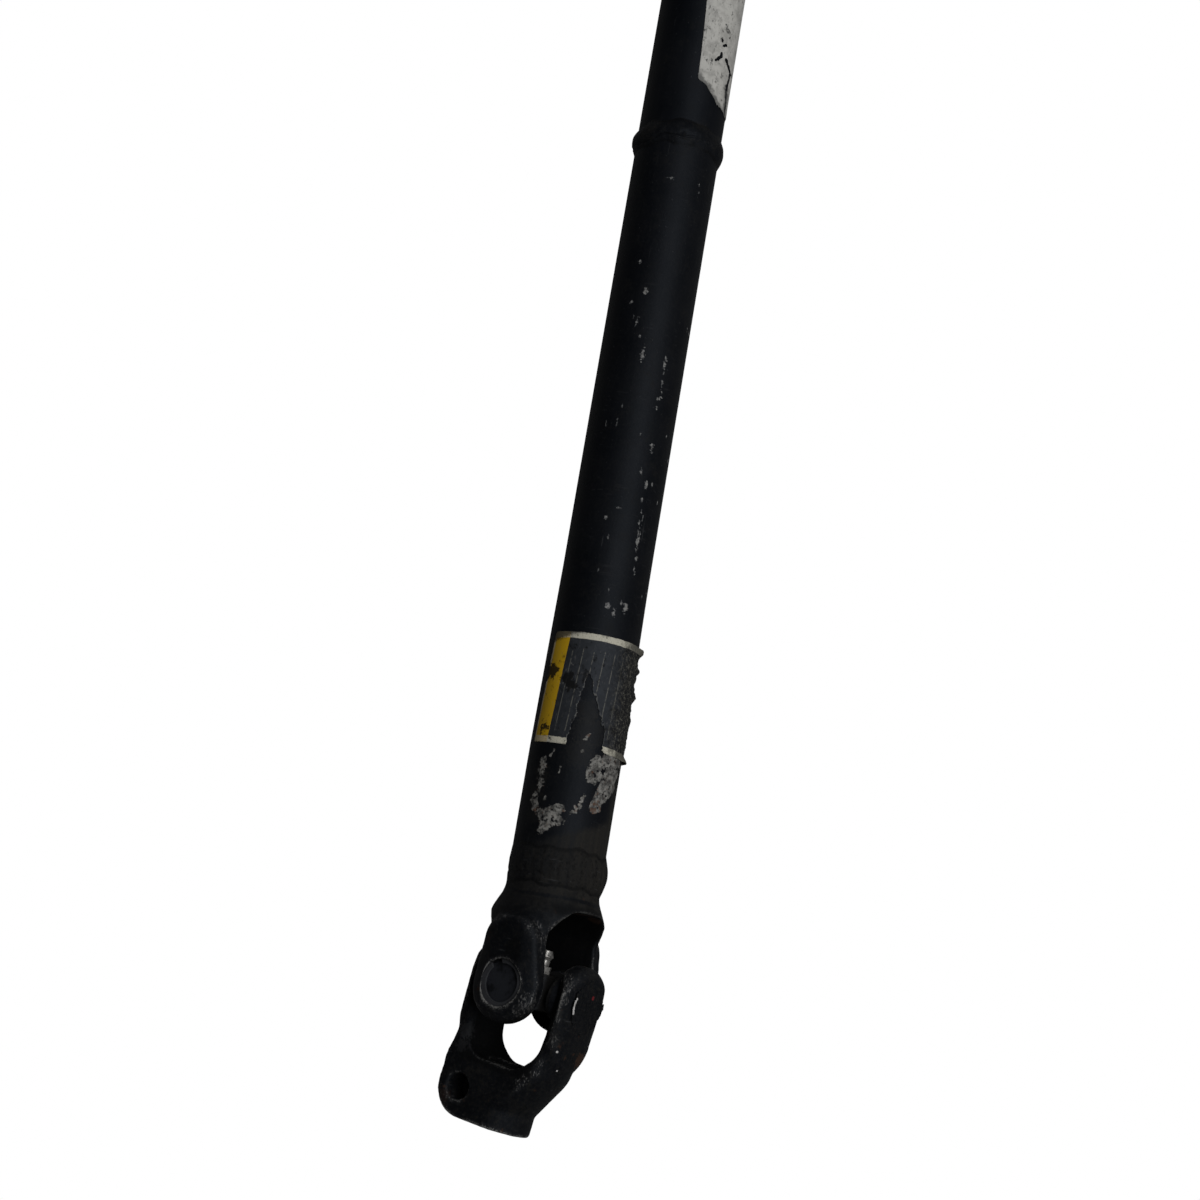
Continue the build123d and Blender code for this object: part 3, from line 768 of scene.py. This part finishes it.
CLAMP_YOKE_SCUFFS = (
    ((6.0, -11.2, 22.7), 2.8, 0.5), ((3.4, -12.6, 24.6), 3.2, 0.5), ((-2.8, -11.2, 25.1), 2.4, 0.5),
    ((-10.9, -10.4, 24.3), 1.4, 0.5), ((-18.8, -10.0, 22.9), 1.6, 0.5),
    ((-37.3, -0.6, 17.6), 2.6, 0.6), ((-32.6, -5.1, 19.3), 2.0, 0.8),
    ((-28.3, -6.8, 19.6), 1.6, 0.8),
)


def marked(table):
    """Spots for the paint, with the names of their colours looked up."""
    return [(*spot, getattr(settings().paint, colour)) for *spot, colour in table]


class SHAFT_OT_forge_yokes(bpy.types.Operator):
    """The four yokes with rounded forged edges and a worn, painted skin"""

    bl_idname = "shaft.forge_yokes"
    bl_label = "Forge the yokes"

    def execute(self, context):
        up = Vector((1, 0, 0))
        fixed = joint_axis("lower_cross_pivot")
        lower = joint_axis("lower_clamp_pivot")
        upper = joint_axis("upper_clamp_pivot")
        shaft_paint = black_paint(
            "Shaft yoke paint", edge_wear=True, dusty=0.5, dust_mask=hub_dust, greasy=0.5,
            coarse=0.7, spots=marked(SHAFT_YOKE_MARKS), scuffs=SHAFT_YOKE_SCUFFS,
        )
        clamp_paint = black_paint(
            "Clamp yoke paint", edge_wear=True, dusty=1.0, greasy=0.2, coarse=1.0,
            spots=marked(CLAMP_YOKE_MARKS), scuffs=CLAMP_YOKE_SCUFFS,
        )
        # Node, body, joint in its ears, axis of their bores, axis of the hub, radius of the
        # hub's bore, where a stub begins, how far up the arms are blended on each side, paint
        yokes = (
            ("lower_tube_yoke", "tube_shaft", "lower_cross_pivot", fixed, up, 0.0, 49.0, None,
             shaft_paint),
            ("lower_clamp_yoke", "lower_clamp", "lower_clamp_pivot", lower, lower.cross(fixed),
             11.0, None, (44.0, 33.0), clamp_paint),
            ("upper_shaft_yoke", "slip_shaft", "upper_cross_pivot", fixed, -up, 14.5, None, None,
             shaft_paint),
            ("upper_clamp_yoke", "upper_clamp", "upper_clamp_pivot", upper, fixed.cross(upper),
             11.0, None, (44.0, 33.0), clamp_paint),
        )
        for node, body, pivot, *shape, paint in yokes:
            centre = [c / MM for c in joints[pivot]["pos_m"]]
            mesh = forged_copy(node, centre, *shape)
            piece = new_piece(f"{node}_forging", mesh, body, paint)
            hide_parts(node)
        return {"FINISHED"}


def bead_mesh(name, position, width, base_radius, height, ripples, seed, lumps, lean, depth,
              crease):
    """A welded ring round the shaft: overlapping ripples of a given depth, an uneven width and
    crown, a lean that makes it stand higher towards -Y, and a crease where two runs overlap.
    Each point says how much painted shade darkens it at the bead's toes, where the bead meets the
    tube."""
    around, across = 360, 48
    points, toes = [], []
    for i in range(around):
        turn = i / around
        angle = 2 * math.pi * turn
        circle = Vector((math.cos(angle), math.sin(angle), seed))

        def put(x, radius, toe):
            points.append((x, radius * math.cos(angle), radius * math.sin(angle)))
            toes.append(toe)

        middle = position + noise.noise(circle * 1.3) * 0.10 * width
        swell = 1 + noise.noise(circle * 2.3 + Vector((5, 5, 0))) * lumps - lean * math.cos(angle)
        half = width / 2 * (1 + noise.noise(circle * 3.1 + Vector((0, 9, 0))) * 0.22)
        for j in range(across):
            share = -1 + 2 * j / (across - 1)
            crown = max(0.0, 1 - share * share) ** 1.35
            phase = turn * ripples + 0.35 * (1 - share * share)
            ripple = 0.5 - 0.5 * math.cos(2 * math.pi * (phase % 1.0) ** 0.7)
            pit = noise.noise(Vector((angle * 6, share * 2.5, seed * 3))) * 0.16
            lift = crown * (height * swell * (1 - depth + depth * ripple) + pit)
            wave = 0.25 * noise.noise(circle * 1.7) + 0.08 * noise.noise(circle * 6.0)
            overlap = crease * math.exp(-(((share + 0.45 + wave) / 0.075) ** 2))
            lift -= overlap * max(0.0, math.cos(angle - 0.6)) ** 0.5
            # Painted shade along the bead's toes, where it meets the tube
            toe = 0.8 * math.exp(-(((abs(share) - 0.84) / 0.10) ** 2))
            put(middle + share * half, base_radius + lift, toe)
        for x in (middle + half, middle - half):
            put(x, base_radius - 0.4, 0.0)
    ring = across + 2
    faces = []
    for i in range(around):
        start, after = i * ring, ((i + 1) % around) * ring
        for j in range(ring):
            k = (j + 1) % ring
            faces.append((start + j, after + j, after + k, start + k))
    mesh = mesh_from(name, points, faces)
    remember(mesh, ridge=[0.0] * len(points), inner=toes)
    return mesh


class SHAFT_OT_pack_dirt(bpy.types.Operator):
    """Caked dirt in one ear of the lower clamp yoke, with the glint of its buried snap ring painted
    along one short arc
    """

    bl_idname = "shaft.pack_dirt"
    bl_label = "Pack the dirt"

    def execute(self, context):
        paint = settings().paint
        out = joint_axis("lower_clamp_pivot")
        out *= -1 if out.y > 0 else 1
        aside = (Vector((0, 1, 0)) - out * out.y).normalized()
        along = out.cross(aside)

        def place(u, v, lift):
            return tuple(out * (CLAMP_EAR_FACE + lift) + aside * u + along * v)

        def field(u, v):
            return 10.7 - math.hypot(u, v) + 2.2 * speckle(u, v, 3.5, 77.0)

        def lift(u, v):
            uneven = 0.35 * speckle(u, v, 3.0, 73.0) + 0.2 * speckle(u, v, 0.8, 75.0)
            return 1.25 + uneven - 0.35 * max(0.0, 1 - math.hypot(u, v) / 9.0)

        spots = [((0.1, -23.5, 13.9), 0.9, 0.1, 0.5, paint.red)]
        # Painted highlight: pale spots along a short arc stand in for the glint of the buried snap
        # ring's edge.
        for degrees in range(-27, 13, 5):
            turn = math.radians(degrees)
            at = place(10.0 * math.cos(turn), 10.0 * math.sin(turn), 1.35)
            spots.append((at, 0.55, 0.15, 0.9, paint.chalk))
        dirt = black_paint("Packed dirt", dusty=1.0, coarse=1.0, spots=spots)
        sheet = (field, (-12.6, 12.6), (-12.6, 12.6), 0.35)
        film("lower_clamp_ear_dirt", [sheet], lift, 0.15, "lower_clamp", dirt, place)
        return {"FINISHED"}


class SHAFT_OT_lay_welds(bpy.types.Operator):
    """The rippled beads at both ends of the tube and at the upper yoke"""

    bl_idname = "shaft.lay_welds"
    bl_label = "Lay the welds"

    def execute(self, context):
        options = settings().weld
        height, width = options.height / MM, options.width / MM
        clean = black_paint(
            "Weld paint", edge_wear=True, dusty=0.9, greasy=0.2, coarse=0.5, rusty=0.0
        )
        dusty = black_paint(
            "Dusty weld paint", edge_wear=True, dusty=0.8, dust_mask=settled_dust, coarse=1.0,
            rusty=0.0,
        )
        # Node, body, paint, then what bead_mesh takes, but for the number of ripples
        beads = (
            ("lower_weld_bead", "tube_shaft", dusty,
             50.4, width * 1.42, 19.75, height, 1.0, 0.45, 0.55, 0.16, 0.25),
            ("middle_weld_bead", "tube_shaft", clean,
             380.4, width, 18.98, height * 1.5, 4.0, 0.4, 0.0, 0.03, 0.7),
            ("upper_weld_bead", "slip_shaft", clean,
             687.8, 7.5, 13.45, height * 1.9, 7.0, 0.2, 0.0, 0.18, 0.0),
        )
        for node, body, paint, position, wide, base, tall, *rest in beads:
            mesh = bead_mesh(node, position, wide, base, tall, options.ripples, *rest)
            piece = new_piece(f"{node}_ripples", mesh, body, paint)
            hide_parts(node)
        return {"FINISHED"}


# Paint chips: place up the shaft, degrees from the top towards -Y, half length, half width
CHIPS = [
    (193.1, 34.8, 5.4, 1.0), (275.4, -1.3, 3.8, 0.9), (273.6, 31.4, 2.9, 0.9),
    (162.8, 32.8, 2.5, 1.5), (217.9, 33.2, 2.4, 0.9), (303.9, -11.5, 1.9, 1.3),
    (234.5, 32.3, 1.9, 1.1), (159.6, 17.4, 1.8, 1.0), (263.6, 32.0, 2.3, 0.6),
    (289.0, -15.9, 2.2, 0.7), (162.0, 7.9, 1.4, 1.1), (200.0, -13.0, 1.3, 0.9),
    (257.0, 31.1, 0.9, 1.3), (222.9, 23.0, 1.5, 0.7), (358.4, -3.3, 0.45, 1.6),
    (200.7, 32.8, 1.5, 0.6), (185.2, 37.2, 1.0, 0.8), (243.2, -19.5, 2.4, 0.4),
    (242.4, -35.3, 2.4, 0.4), (202.5, 36.6, 2.2, 0.4), (317.4, -25.6, 1.1, 0.7),
    (298.6, -28.1, 0.5, 1.7), (164.8, 25.7, 1.2, 0.6), (210.8, 30.9, 0.8, 0.9),
    (359.2, 38.4, 1.0, 0.7), (268.8, 31.8, 1.1, 0.5), (252.3, 30.6, 0.8, 0.8),
    (180.6, 36.5, 1.1, 0.5), (260.3, 33.1, 0.7, 0.7), (204.6, 3.1, 0.6, 1.0),
    (205.8, 33.0, 1.6, 0.4), (283.2, -8.5, 1.0, 0.5), (178.4, 38.5, 0.8, 0.5),
    (192.0, -6.0, 1.2, 0.5), (242.4, 56.4, 0.8, 0.6), (219.2, 43.4, 1.3, 0.4),
    (239.3, 13.5, 0.7, 0.5), (250.8, -16.2, 1.5, 0.4), (176.5, -10.8, 0.8, 0.5),
    (355.6, 40.7, 0.5, 0.5), (292.0, -21.4, 0.8, 0.4), (168.6, 6.5, 1.1, 0.4),
]


def chip(x0, arc0, long, wide):
    """Sheet of one ragged chip, with holes where paint still clings."""

    def field(arc, x):
        away = math.hypot((x - x0) / long, (arc - arc0) / wide)
        ragged = speckle(arc, x, 2.2, 61.0) + 0.8 * speckle(arc, x, 0.8, 67.0)
        holes = 0.42 - speckle(arc, x, 0.9, 69.0)
        return min((0.85 - away) * min(long, wide) + 1.5 * ragged * min(wide, 1.0), holes)

    arcs = (arc0 - wide - CHIP_MARGIN, arc0 + wide + CHIP_MARGIN)
    return field, arcs, (x0 - long - CHIP_MARGIN, x0 + long + CHIP_MARGIN), 0.16


class SHAFT_OT_chip_paint(bpy.types.Operator):
    """Places on the tube where the paint has chipped to grey metal"""

    bl_idname = "shaft.chip_paint"
    bl_label = "Chip the paint"

    def execute(self, context):
        sheets = [
            chip(x, math.radians(angle) * surface_radius(x), long, wide)
            for x, angle, long, wide in CHIPS
        ]
        dice = random.Random(7)
        for _ in range(settings().paint.stray_chips):
            long = dice.uniform(0.4, 1.9)
            x, arc = dice.uniform(160, 360), dice.uniform(20, 96)
            sheets.append(chip(x, arc, long, dice.uniform(0.3, 0.8)))
        film("paint_chips", sheets, lambda arc, x: 0.0, 0.035, "tube_shaft", chipped_paint())
        return {"FINISHED"}


# The lower label, measured round the tube from its top towards -Y, and up the shaft
LABEL_LEFT, LABEL_RIGHT = -22.8, 57.0
LABEL_LOW, LABEL_HIGH = 101.2, 149.0
LABEL_SKEW, LABEL_SLOPE = 0.0585, 0.035
LABEL_BORDER, LABEL_RIM, LABEL_BAND, LABEL_SOFT = 2.9, 1.0, 9.0, 0.3
RULES_START, RULES_GAP = 11.6, 2.35
# Dark smudges: arc, distance up the shaft, radius
SMUDGES = (
    (-19.0, 131.5, 3.6), (-9.5, 129.0, 2.6), (-6.5, 125.5, 1.8), (-1.5, 131.0, 2.0),
    (-17.0, 107.5, 2.0),
)
# Creases: distance up the shaft, height, half width
CRUMPLES = (
    (148.0, 1.9, 2.0), (139.5, 1.1, 1.4), (128.0, 1.3, 1.8), (117.0, 0.7, 2.4), (99.5, 1.8, 1.6),
)
TORN_OUT = [
    (-5.2, 96.0), (-5.0, 101.6), (-4.1, 106.8), (-2.3, 113.9), (-2.9, 119.9), (-1.1, 124.4),
    (-0.4, 131.8), (0.7, 131.4), (2.0, 125.8), (5.7, 119.7), (10.0, 109.6), (10.9, 102.0),
    (11.2, 96.0),
]


def label_field(arc, x):
    """Positive where the lower label still is: a rectangle with a hole torn in its lower edge."""
    across = arc - LABEL_SKEW * (x - LABEL_LOW)
    low = LABEL_LOW - LABEL_SLOPE * (arc - LABEL_LEFT) * (arc < 40)
    edge = min(across - LABEL_LEFT, LABEL_RIGHT - across, x - low, LABEL_HIGH - x)
    edge += 0.35 * speckle(arc, x, 2.4, 3.0)
    ragged = LABEL_RIGHT - 1.5 + 2.6 * speckle(arc, x, 3.0, 8.0) - across
    torn = -inside_outline(TORN_OUT, arc, x) + 1.1 * speckle(arc, x, 1.3, 5.0)
    torn += 1.5 * speckle(arc, x, 4.5, 6.0)
    flakes = 0.30 - speckle(arc, x, 2.2, 11.0) + 0.05 * abs(arc + 8) + 0.03 * abs(x - 129)
    return min(edge, ragged, torn, flakes * 2.0)


def label_lift(arc, x):
    """How far the lower label stands off the tube: at its torn edge, and in creases at its
    loose right side."""
    torn = max(0.0, 1 - abs(inside_outline(TORN_OUT, arc, x)) / 1.6)
    loose = max(0.0, (arc - 22.0) / 8.0) if arc < 30 else max(0.0, 1 - (arc - 30) / 10.0)
    crumple = sum(high * math.exp(-(((x - at) / wide) ** 2)) for at, high, wide in CRUMPLES)
    crumple *= math.exp(-(((arc - 31.5) / 5.0) ** 2))
    waves = max(0.0, 0.25 + 1.1 * speckle(arc, x, 3.0, 2.0))
    return 0.03 + 0.25 * torn + loose * waves + crumple


def blocked_label():
    """Yellow band, slate field with faint plain rules, cream border; torn, smudged and gritty."""
    label, paint = settings().label, settings().paint
    f = Finish("Lower label")
    arc = f.arc()
    across = arc - (f.x - LABEL_LOW) * LABEL_SKEW
    wobble = (f.noise(0.5, 3.0, 0.6) - 0.5) * 0.7
    low_edge = LABEL_LOW - (arc - LABEL_LEFT) * LABEL_SLOPE
    inside = LABEL_BORDER - LABEL_SOFT
    border = f.ramp(f.x + wobble, LABEL_HIGH - LABEL_BORDER, LABEL_HIGH - inside)
    border = border.either(f.ramp(f.x + wobble - low_edge, LABEL_BORDER, inside))
    band = LABEL_LEFT + LABEL_BAND
    yellow = f.ramp(across + wobble * 0.3, band, band - LABEL_SOFT)
    rim = LABEL_LEFT + LABEL_RIM
    left_rim = f.ramp(across, rim, rim - LABEL_SOFT)
    worn = f.noise(0.55, 5.0, 0.72)
    fine = f.noise(2.0, 4.0, 0.7)
    f.colour = f.mix(f.ramp(worn, 0.35, 0.7), label.slate, shade(label.slate, 1.4))
    rule = f.ramp((across - LABEL_LEFT - RULES_START).math("PINGPONG", RULES_GAP), 0.27, 0.14)
    rule = rule * f.ramp(across, LABEL_LEFT + 10.5, LABEL_LEFT + 10.8)
    rule = rule * f.ramp(f.noise(0.3, 5.0, 0.8, at=(6, 2, 9)), 0.40, 0.52)
    rule = rule * f.ramp(f.x, LABEL_LOW + 4.5, LABEL_LOW + 5.5)
    rule = rule * f.ramp(f.x, LABEL_HIGH - 6.5, LABEL_HIGH - 7.5)
    f.lay(rule * 0.17, label.cream)
    f.lay(yellow, label.yellow)
    worn_cream = f.mix(f.ramp(fine, 0.52, 0.66), label.cream, shade(label.cream, 0.5))
    f.lay(border.either(left_rim) * (1 - yellow * 0.35), worn_cream)
    scuffs = f.noise(0.9, 4.0, 0.7, stretch=(0.25, 1, 1), at=(2, 2, 2))
    f.lay(f.ramp(scuffs, 0.60, 0.66) * 0.22, label.residue)
    torn_rim = f.ramp(f.attribute("inset") + (fine - 0.5) * 1.0, 0.65, 0.30)
    torn_rim = torn_rim * f.ramp(f.noise(0.5, 3.0, 0.6, at=(4, 4, 9)), 0.42, 0.54)
    f.lay(torn_rim * 0.55 * f.ramp(arc, 6.0, 2.0, 0.35, 1.0), label.residue)
    dirt = f.noise(0.28, 6.0, 0.75, at=(9, 1, 4))
    grime = f.ramp(dirt, 0.55, 0.65) * (1 - yellow * 0.35)
    right = f.ramp(arc - border * 2.0 + (dirt - 0.5) * 34.0, 9.0, 20.0)
    left = f.ramp(f.x - arc * 0.3 + (fine - 0.5) * 6.0, 149.6, 151.6)
    grime = (grime * 0.85).either(right * 0.80).either(left * 0.8)
    for place, at, size in SMUDGES:
        away = (arc - place) * (arc - place) + (f.x - at) * (f.x - at)
        away = away.math("SQRT") + (dirt - 0.5) * 16.0 + (fine - 0.5) * 2.0
        grime = grime.either(f.ramp(away, size + 0.5, size - 0.5) * 0.93)
    f.lay(grime, shade(paint.grease, 3.0))
    grit = f.ramp(f.noise(0.8, 6.0, 0.9, at=(1, 8, 1)), 0.52, 0.58) * f.ramp(arc, 8.0, 20.0)
    f.lay(grit * 0.55, shade(label.cream, 0.35))
    height = worn * 0.5 - grime * 0.3
    return f.finish(0.50 + grime * 0.25 + worn * 0.15, height, 0.08)


class SHAFT_OT_stick_lower_label(bpy.types.Operator):
    """The torn label near the lower joint, bare but for its blocks of colour"""

    bl_idname = "shaft.stick_lower_label"
    bl_label = "Stick the lower label"

    def execute(self, context):
        sheet = (label_field, (-25.0, 60.0), (96.0, 150.5), 0.5)
        thickness = settings().label.thickness / MM
        film("lower_label", [sheet], label_lift, thickness, "tube_shaft", blocked_label())
        return {"FINISHED"}


# Outlines of the old glue, as arc and distance up the shaft, each with how broken up it is
RESIDUE = [
    (0.8, [(7.8, 97.5), (12.5, 99.3), (20.0, 100.6), (25.0, 100.0), (25.5, 97.0), (18.7, 94.8),
           (14.7, 94.6), (12.3, 92.5), (14.5, 90.0), (10.0, 86.0), (7.0, 86.7), (5.2, 89.7),
           (6.0, 92.4), (6.4, 95.1)]),
    (0.3, [(14.7, 94.3), (22.3, 96.8), (25.0, 93.5), (23.0, 90.0), (23.3, 86.6), (19.9, 82.6),
           (17.5, 80.4), (15.3, 78.7), (15.4, 75.8), (12.3, 74.3), (9.1, 75.3), (9.6, 77.9),
           (11.5, 83.4), (13.4, 89.7)]),
    (0.9, [(-13.3, 73.7), (-10.0, 72.3), (-8.0, 73.7), (-4.0, 75.9), (-1.4, 75.5), (-0.5, 72.7),
           (-2.4, 71.5), (0.1, 69.4), (0.0, 67.7), (-4.0, 66.3), (-7.1, 64.2), (-9.4, 61.8),
           (-11.2, 63.7), (-10.5, 67.2), (-13.1, 70.3)]),
    (1.1, [(2.5, 74.9), (5.0, 77.9), (6.2, 81.5), (7.2, 80.8), (6.2, 76.4), (4.1, 73.1),
           (1.7, 72.2)]),
    (1.3, [(-15.9, 94.8), (-12.4, 94.1), (-12.7, 90.7), (-12.9, 86.4), (-12.0, 82.2),
           (-13.5, 79.6), (-15.0, 83.8), (-15.7, 88.9), (-15.3, 92.3)]),
    (1.0, [(-15.8, 79.5), (-13.9, 78.7), (-12.9, 72.7), (-15.3, 71.7), (-17.9, 75.2)]),
    (0.6, [(-11.6, 94.9), (-10.4, 94.9), (-8.8, 98.2), (-9.8, 98.4)]),
    (0.6, [(2.0, 103.6), (3.4, 103.9), (4.8, 106.9), (3.8, 106.8)]),
    (0.6, [(1.8, 98.0), (3.0, 98.2), (2.8, 99.6), (1.6, 99.4)]),
    (0.5, [(-6.6, 87.6), (-5.6, 88.0), (-4.9, 91.4), (-5.6, 91.0)]),
    (0.5, [(-10.6, 76.6), (-9.4, 76.6), (-9.4, 78.2), (-10.6, 78.2)]),
]


def glue_patch(broken, outline):
    """Sheet of one patch of glue: the more broken up, the more ragged and holed."""

    def field(arc, x):
        ragged = speckle(arc, x, 2.6, 21.0) + 0.6 * speckle(arc, x, 0.9, 23.0)
        holes = 0.36 - 0.12 * broken - speckle(arc, x, 1.5, 31.0)
        return min(inside_outline(outline, arc, x) + 1.9 * broken * ragged + 0.1, holes)

    arcs, xs = ((min(side) - 1.2, max(side) + 1.2) for side in zip(*outline))
    return field, arcs, xs, 0.24


class SHAFT_OT_leave_residue(bpy.types.Operator):
    """Old glue and primer below the label, where the rest of it came away"""

    bl_idname = "shaft.leave_residue"
    bl_label = "Leave the residue"

    def execute(self, context):
        sheets = [glue_patch(broken, outline) for broken, outline in RESIDUE]
        film("label_residue", sheets, lambda arc, x: 0.01, 0.07, "tube_shaft", glue_residue())
        return {"FINISHED"}


# The upper label's outline, and the scratches through it with their half widths
UPPER_OUTLINE = [
    (1.0, 466.0), (1.7, 446.3), (2.6, 431.5), (3.2, 418.7), (3.5, 408.4), (4.7, 406.8),
    (7.8, 405.9), (10.4, 403.4), (13.9, 401.0), (15.0, 399.5), (21.3, 398.7), (25.8, 397.0),
    (29.0, 400.0), (36.0, 399.0), (40.0, 404.0), (41.0, 466.0),
]
UPPER_SCRATCHES = [
    (1.15, [(17.0, 422.2), (19.1, 420.5), (22.5, 418.3), (21.7, 413.9), (21.0, 409.5)]),
    (0.85, [(21.0, 409.5), (22.3, 405.2), (23.1, 399.0)]),
    (0.8, [(11.2, 419.6), (12.6, 421.4), (13.3, 423.2)]),
    (0.7, [(12.1, 430.5), (12.4, 429.5)]),
    (0.8, [(14.0, 427.9), (15.2, 429.0)]),
    (0.4, [(16.9, 433.3), (17.1, 434.0)]),
]


def upper_field(arc, x):
    """Positive where the upper label still is: frayed at its lower edge and scratched through."""
    shape = inside_outline(UPPER_OUTLINE, arc, x)
    if x < UPPER_FRAYED:
        shape += 0.9 * speckle(arc, x, 2.2, 41.0)
    scratched = min(from_line(line, arc, x) - wide for wide, line in UPPER_SCRATCHES)
    return min(shape, scratched - 1.3 * speckle(arc, x, 1.8, 51.0))


def upper_lift(arc, x):
    return 0.03 + 0.12 * max(0.0, 1 - (x - 398) / 8)


class SHAFT_OT_stick_upper_label(bpy.types.Operator):
    """The pale label above the middle weld, blank and scratched through"""

    bl_idname = "shaft.stick_upper_label"
    bl_label = "Stick the upper label"

    def execute(self, context):
        sheet = (upper_field, (0.0, 44.0), (395.0, 468.0), 0.33)
        thickness = settings().label.thickness / MM
        film("upper_label", [sheet], upper_lift, thickness, "tube_shaft", pale_label())
        return {"FINISHED"}


WHITE = (1.0, 1.0, 1.0, 1.0)
FLOOR_GREY = (0.22, 0.22, 0.22, 1.0)
FLOOR_REACH = 9000.0
LAMP_PLACE, LAMP_AIM = Vector((0.35, -0.55, 1.25)), Vector((0.3, 0.0, 0.0))
CAMERA_PLACE = Vector((-0.0263, 0.0008, 0.8767))
CAMERA_RIGHT, CAMERA_BACK = Vector((0.1627, -0.986, 0.0361)), Vector((-0.2164, 0.0, 0.9763))


def show_camera(tree, output, lighting, shown):
    """Let one shader light the scene, and show the camera another in its place."""
    rays = add_node(tree, "ShaderNodeLightPath")
    inputs = {0: rays.outputs["Is Camera Ray"], 1: lighting.outputs[0], 2: shown.outputs[0]}
    choice = add_node(tree, "ShaderNodeMixShader", inputs)
    add_node(tree, output, {"Surface": choice.outputs[0]})


class SHAFT_OT_set_stage(bpy.types.Operator):
    """Pale floor, soft studio light and the camera"""

    bl_idname = "shaft.set_stage"
    bl_label = "Set the stage"

    def execute(self, context):
        options = settings().stage
        scene = context.scene
        scene.view_settings.view_transform = "Standard"

        lowest = cad_box[0][2] / MM
        corners = ((-1, -1), (1, -1), (1, 1), (-1, 1))
        points = [(FLOOR_REACH * x, FLOOR_REACH * y, lowest) for x, y in corners]
        mesh = mesh_from("floor", points, [(0, 1, 2, 3)])
        floor = bpy.data.objects.new("floor", mesh)
        scene.collection.objects.link(floor)
        material = bpy.data.materials.new("Pale floor")
        tree = empty_tree(material)
        matt = add_node(tree, "ShaderNodeBsdfDiffuse", {"Color": FLOOR_GREY})
        glow = add_node(tree, "ShaderNodeEmission", {"Color": WHITE, "Strength": 1.0})
        show_camera(tree, "ShaderNodeOutputMaterial", matt, glow)
        mesh.materials.append(material)

        world = bpy.data.worlds.new("Studio")
        scene.world = world
        tree = empty_tree(world)
        room, plain = (
            add_node(tree, "ShaderNodeBackground", {"Color": WHITE, "Strength": strength})
            for strength in (options.room, 1.0)
        )
        show_camera(tree, "ShaderNodeOutputWorld", room, plain)

        lamp = bpy.data.lights.new("key", "AREA")
        lamp.shape = "RECTANGLE"
        lamp.size, lamp.size_y = 1.6, 0.8
        lamp.energy = options.key
        key = bpy.data.objects.new("key", lamp)
        key.location = LAMP_PLACE
        key.rotation_euler = (LAMP_AIM - LAMP_PLACE).to_track_quat("-Z", "Y").to_euler()
        scene.collection.objects.link(key)

        camera = bpy.data.cameras.new("camera")
        camera.lens = options.lens
        camera.sensor_width = 36.0
        camera.sensor_fit = "HORIZONTAL"
        camera.clip_end = 50.0
        view = bpy.data.objects.new("camera", camera)
        right, back = CAMERA_RIGHT.normalized(), CAMERA_BACK.normalized()
        turn = Matrix((right, back.cross(right), back)).transposed()
        view.matrix_world = Matrix.LocRotScale(CAMERA_PLACE, turn, None)
        scene.collection.objects.link(view)
        scene.camera = view
        return {"FINISHED"}


class SteeringShaftSettings(bpy.types.PropertyGroup):
    paint: bpy.props.PointerProperty(type=ShaftPaintSettings, name="Paint")
    forging: bpy.props.PointerProperty(type=ShaftForgingSettings, name="Forging")
    weld: bpy.props.PointerProperty(type=ShaftWeldSettings, name="Welds")
    label: bpy.props.PointerProperty(type=ShaftLabelSettings, name="Labels")
    stage: bpy.props.PointerProperty(type=ShaftStageSettings, name="Stage")


OPERATORS = (
    SHAFT_OT_finish_nodes,
    SHAFT_OT_forge_yokes,
    SHAFT_OT_pack_dirt,
    SHAFT_OT_lay_welds,
    SHAFT_OT_chip_paint,
    SHAFT_OT_stick_lower_label,
    SHAFT_OT_leave_residue,
    SHAFT_OT_stick_upper_label,
    SHAFT_OT_set_stage,
)


class VIEW3D_PT_steering_shaft(bpy.types.Panel):
    bl_label = "Steering Shaft"
    bl_space_type = "VIEW_3D"
    bl_region_type = "UI"
    bl_category = "Steering Shaft"

    def draw(self, context):
        layout = self.layout
        shaft = context.scene.steering_shaft
        for part in ("paint", "forging", "weld", "label", "stage"):
            group = getattr(shaft, part)
            column = layout.box().column()
            for name in group.bl_rna.properties.keys():
                if name not in ("rna_type", "name"):
                    column.prop(group, name)
        for operator in OPERATORS:
            layout.operator(operator.bl_idname)


CLASSES = (
    ShaftPaintSettings,
    ShaftForgingSettings,
    ShaftWeldSettings,
    ShaftLabelSettings,
    ShaftStageSettings,
    SteeringShaftSettings,
    *OPERATORS,
    VIEW3D_PT_steering_shaft,
)


def register():
    for cls in CLASSES:
        bpy.utils.register_class(cls)
    bpy.types.Scene.steering_shaft = bpy.props.PointerProperty(type=SteeringShaftSettings)


def unregister():
    del bpy.types.Scene.steering_shaft
    for cls in reversed(CLASSES):
        bpy.utils.unregister_class(cls)


def main():
    register()
    bpy.ops.shaft.finish_nodes()
    bpy.ops.shaft.forge_yokes()
    bpy.ops.shaft.pack_dirt()
    bpy.ops.shaft.lay_welds()
    bpy.ops.shaft.chip_paint()
    bpy.ops.shaft.stick_lower_label()
    bpy.ops.shaft.leave_residue()
    bpy.ops.shaft.stick_upper_label()
    bpy.ops.shaft.set_stage()


if __name__ == "__main__":
    main()
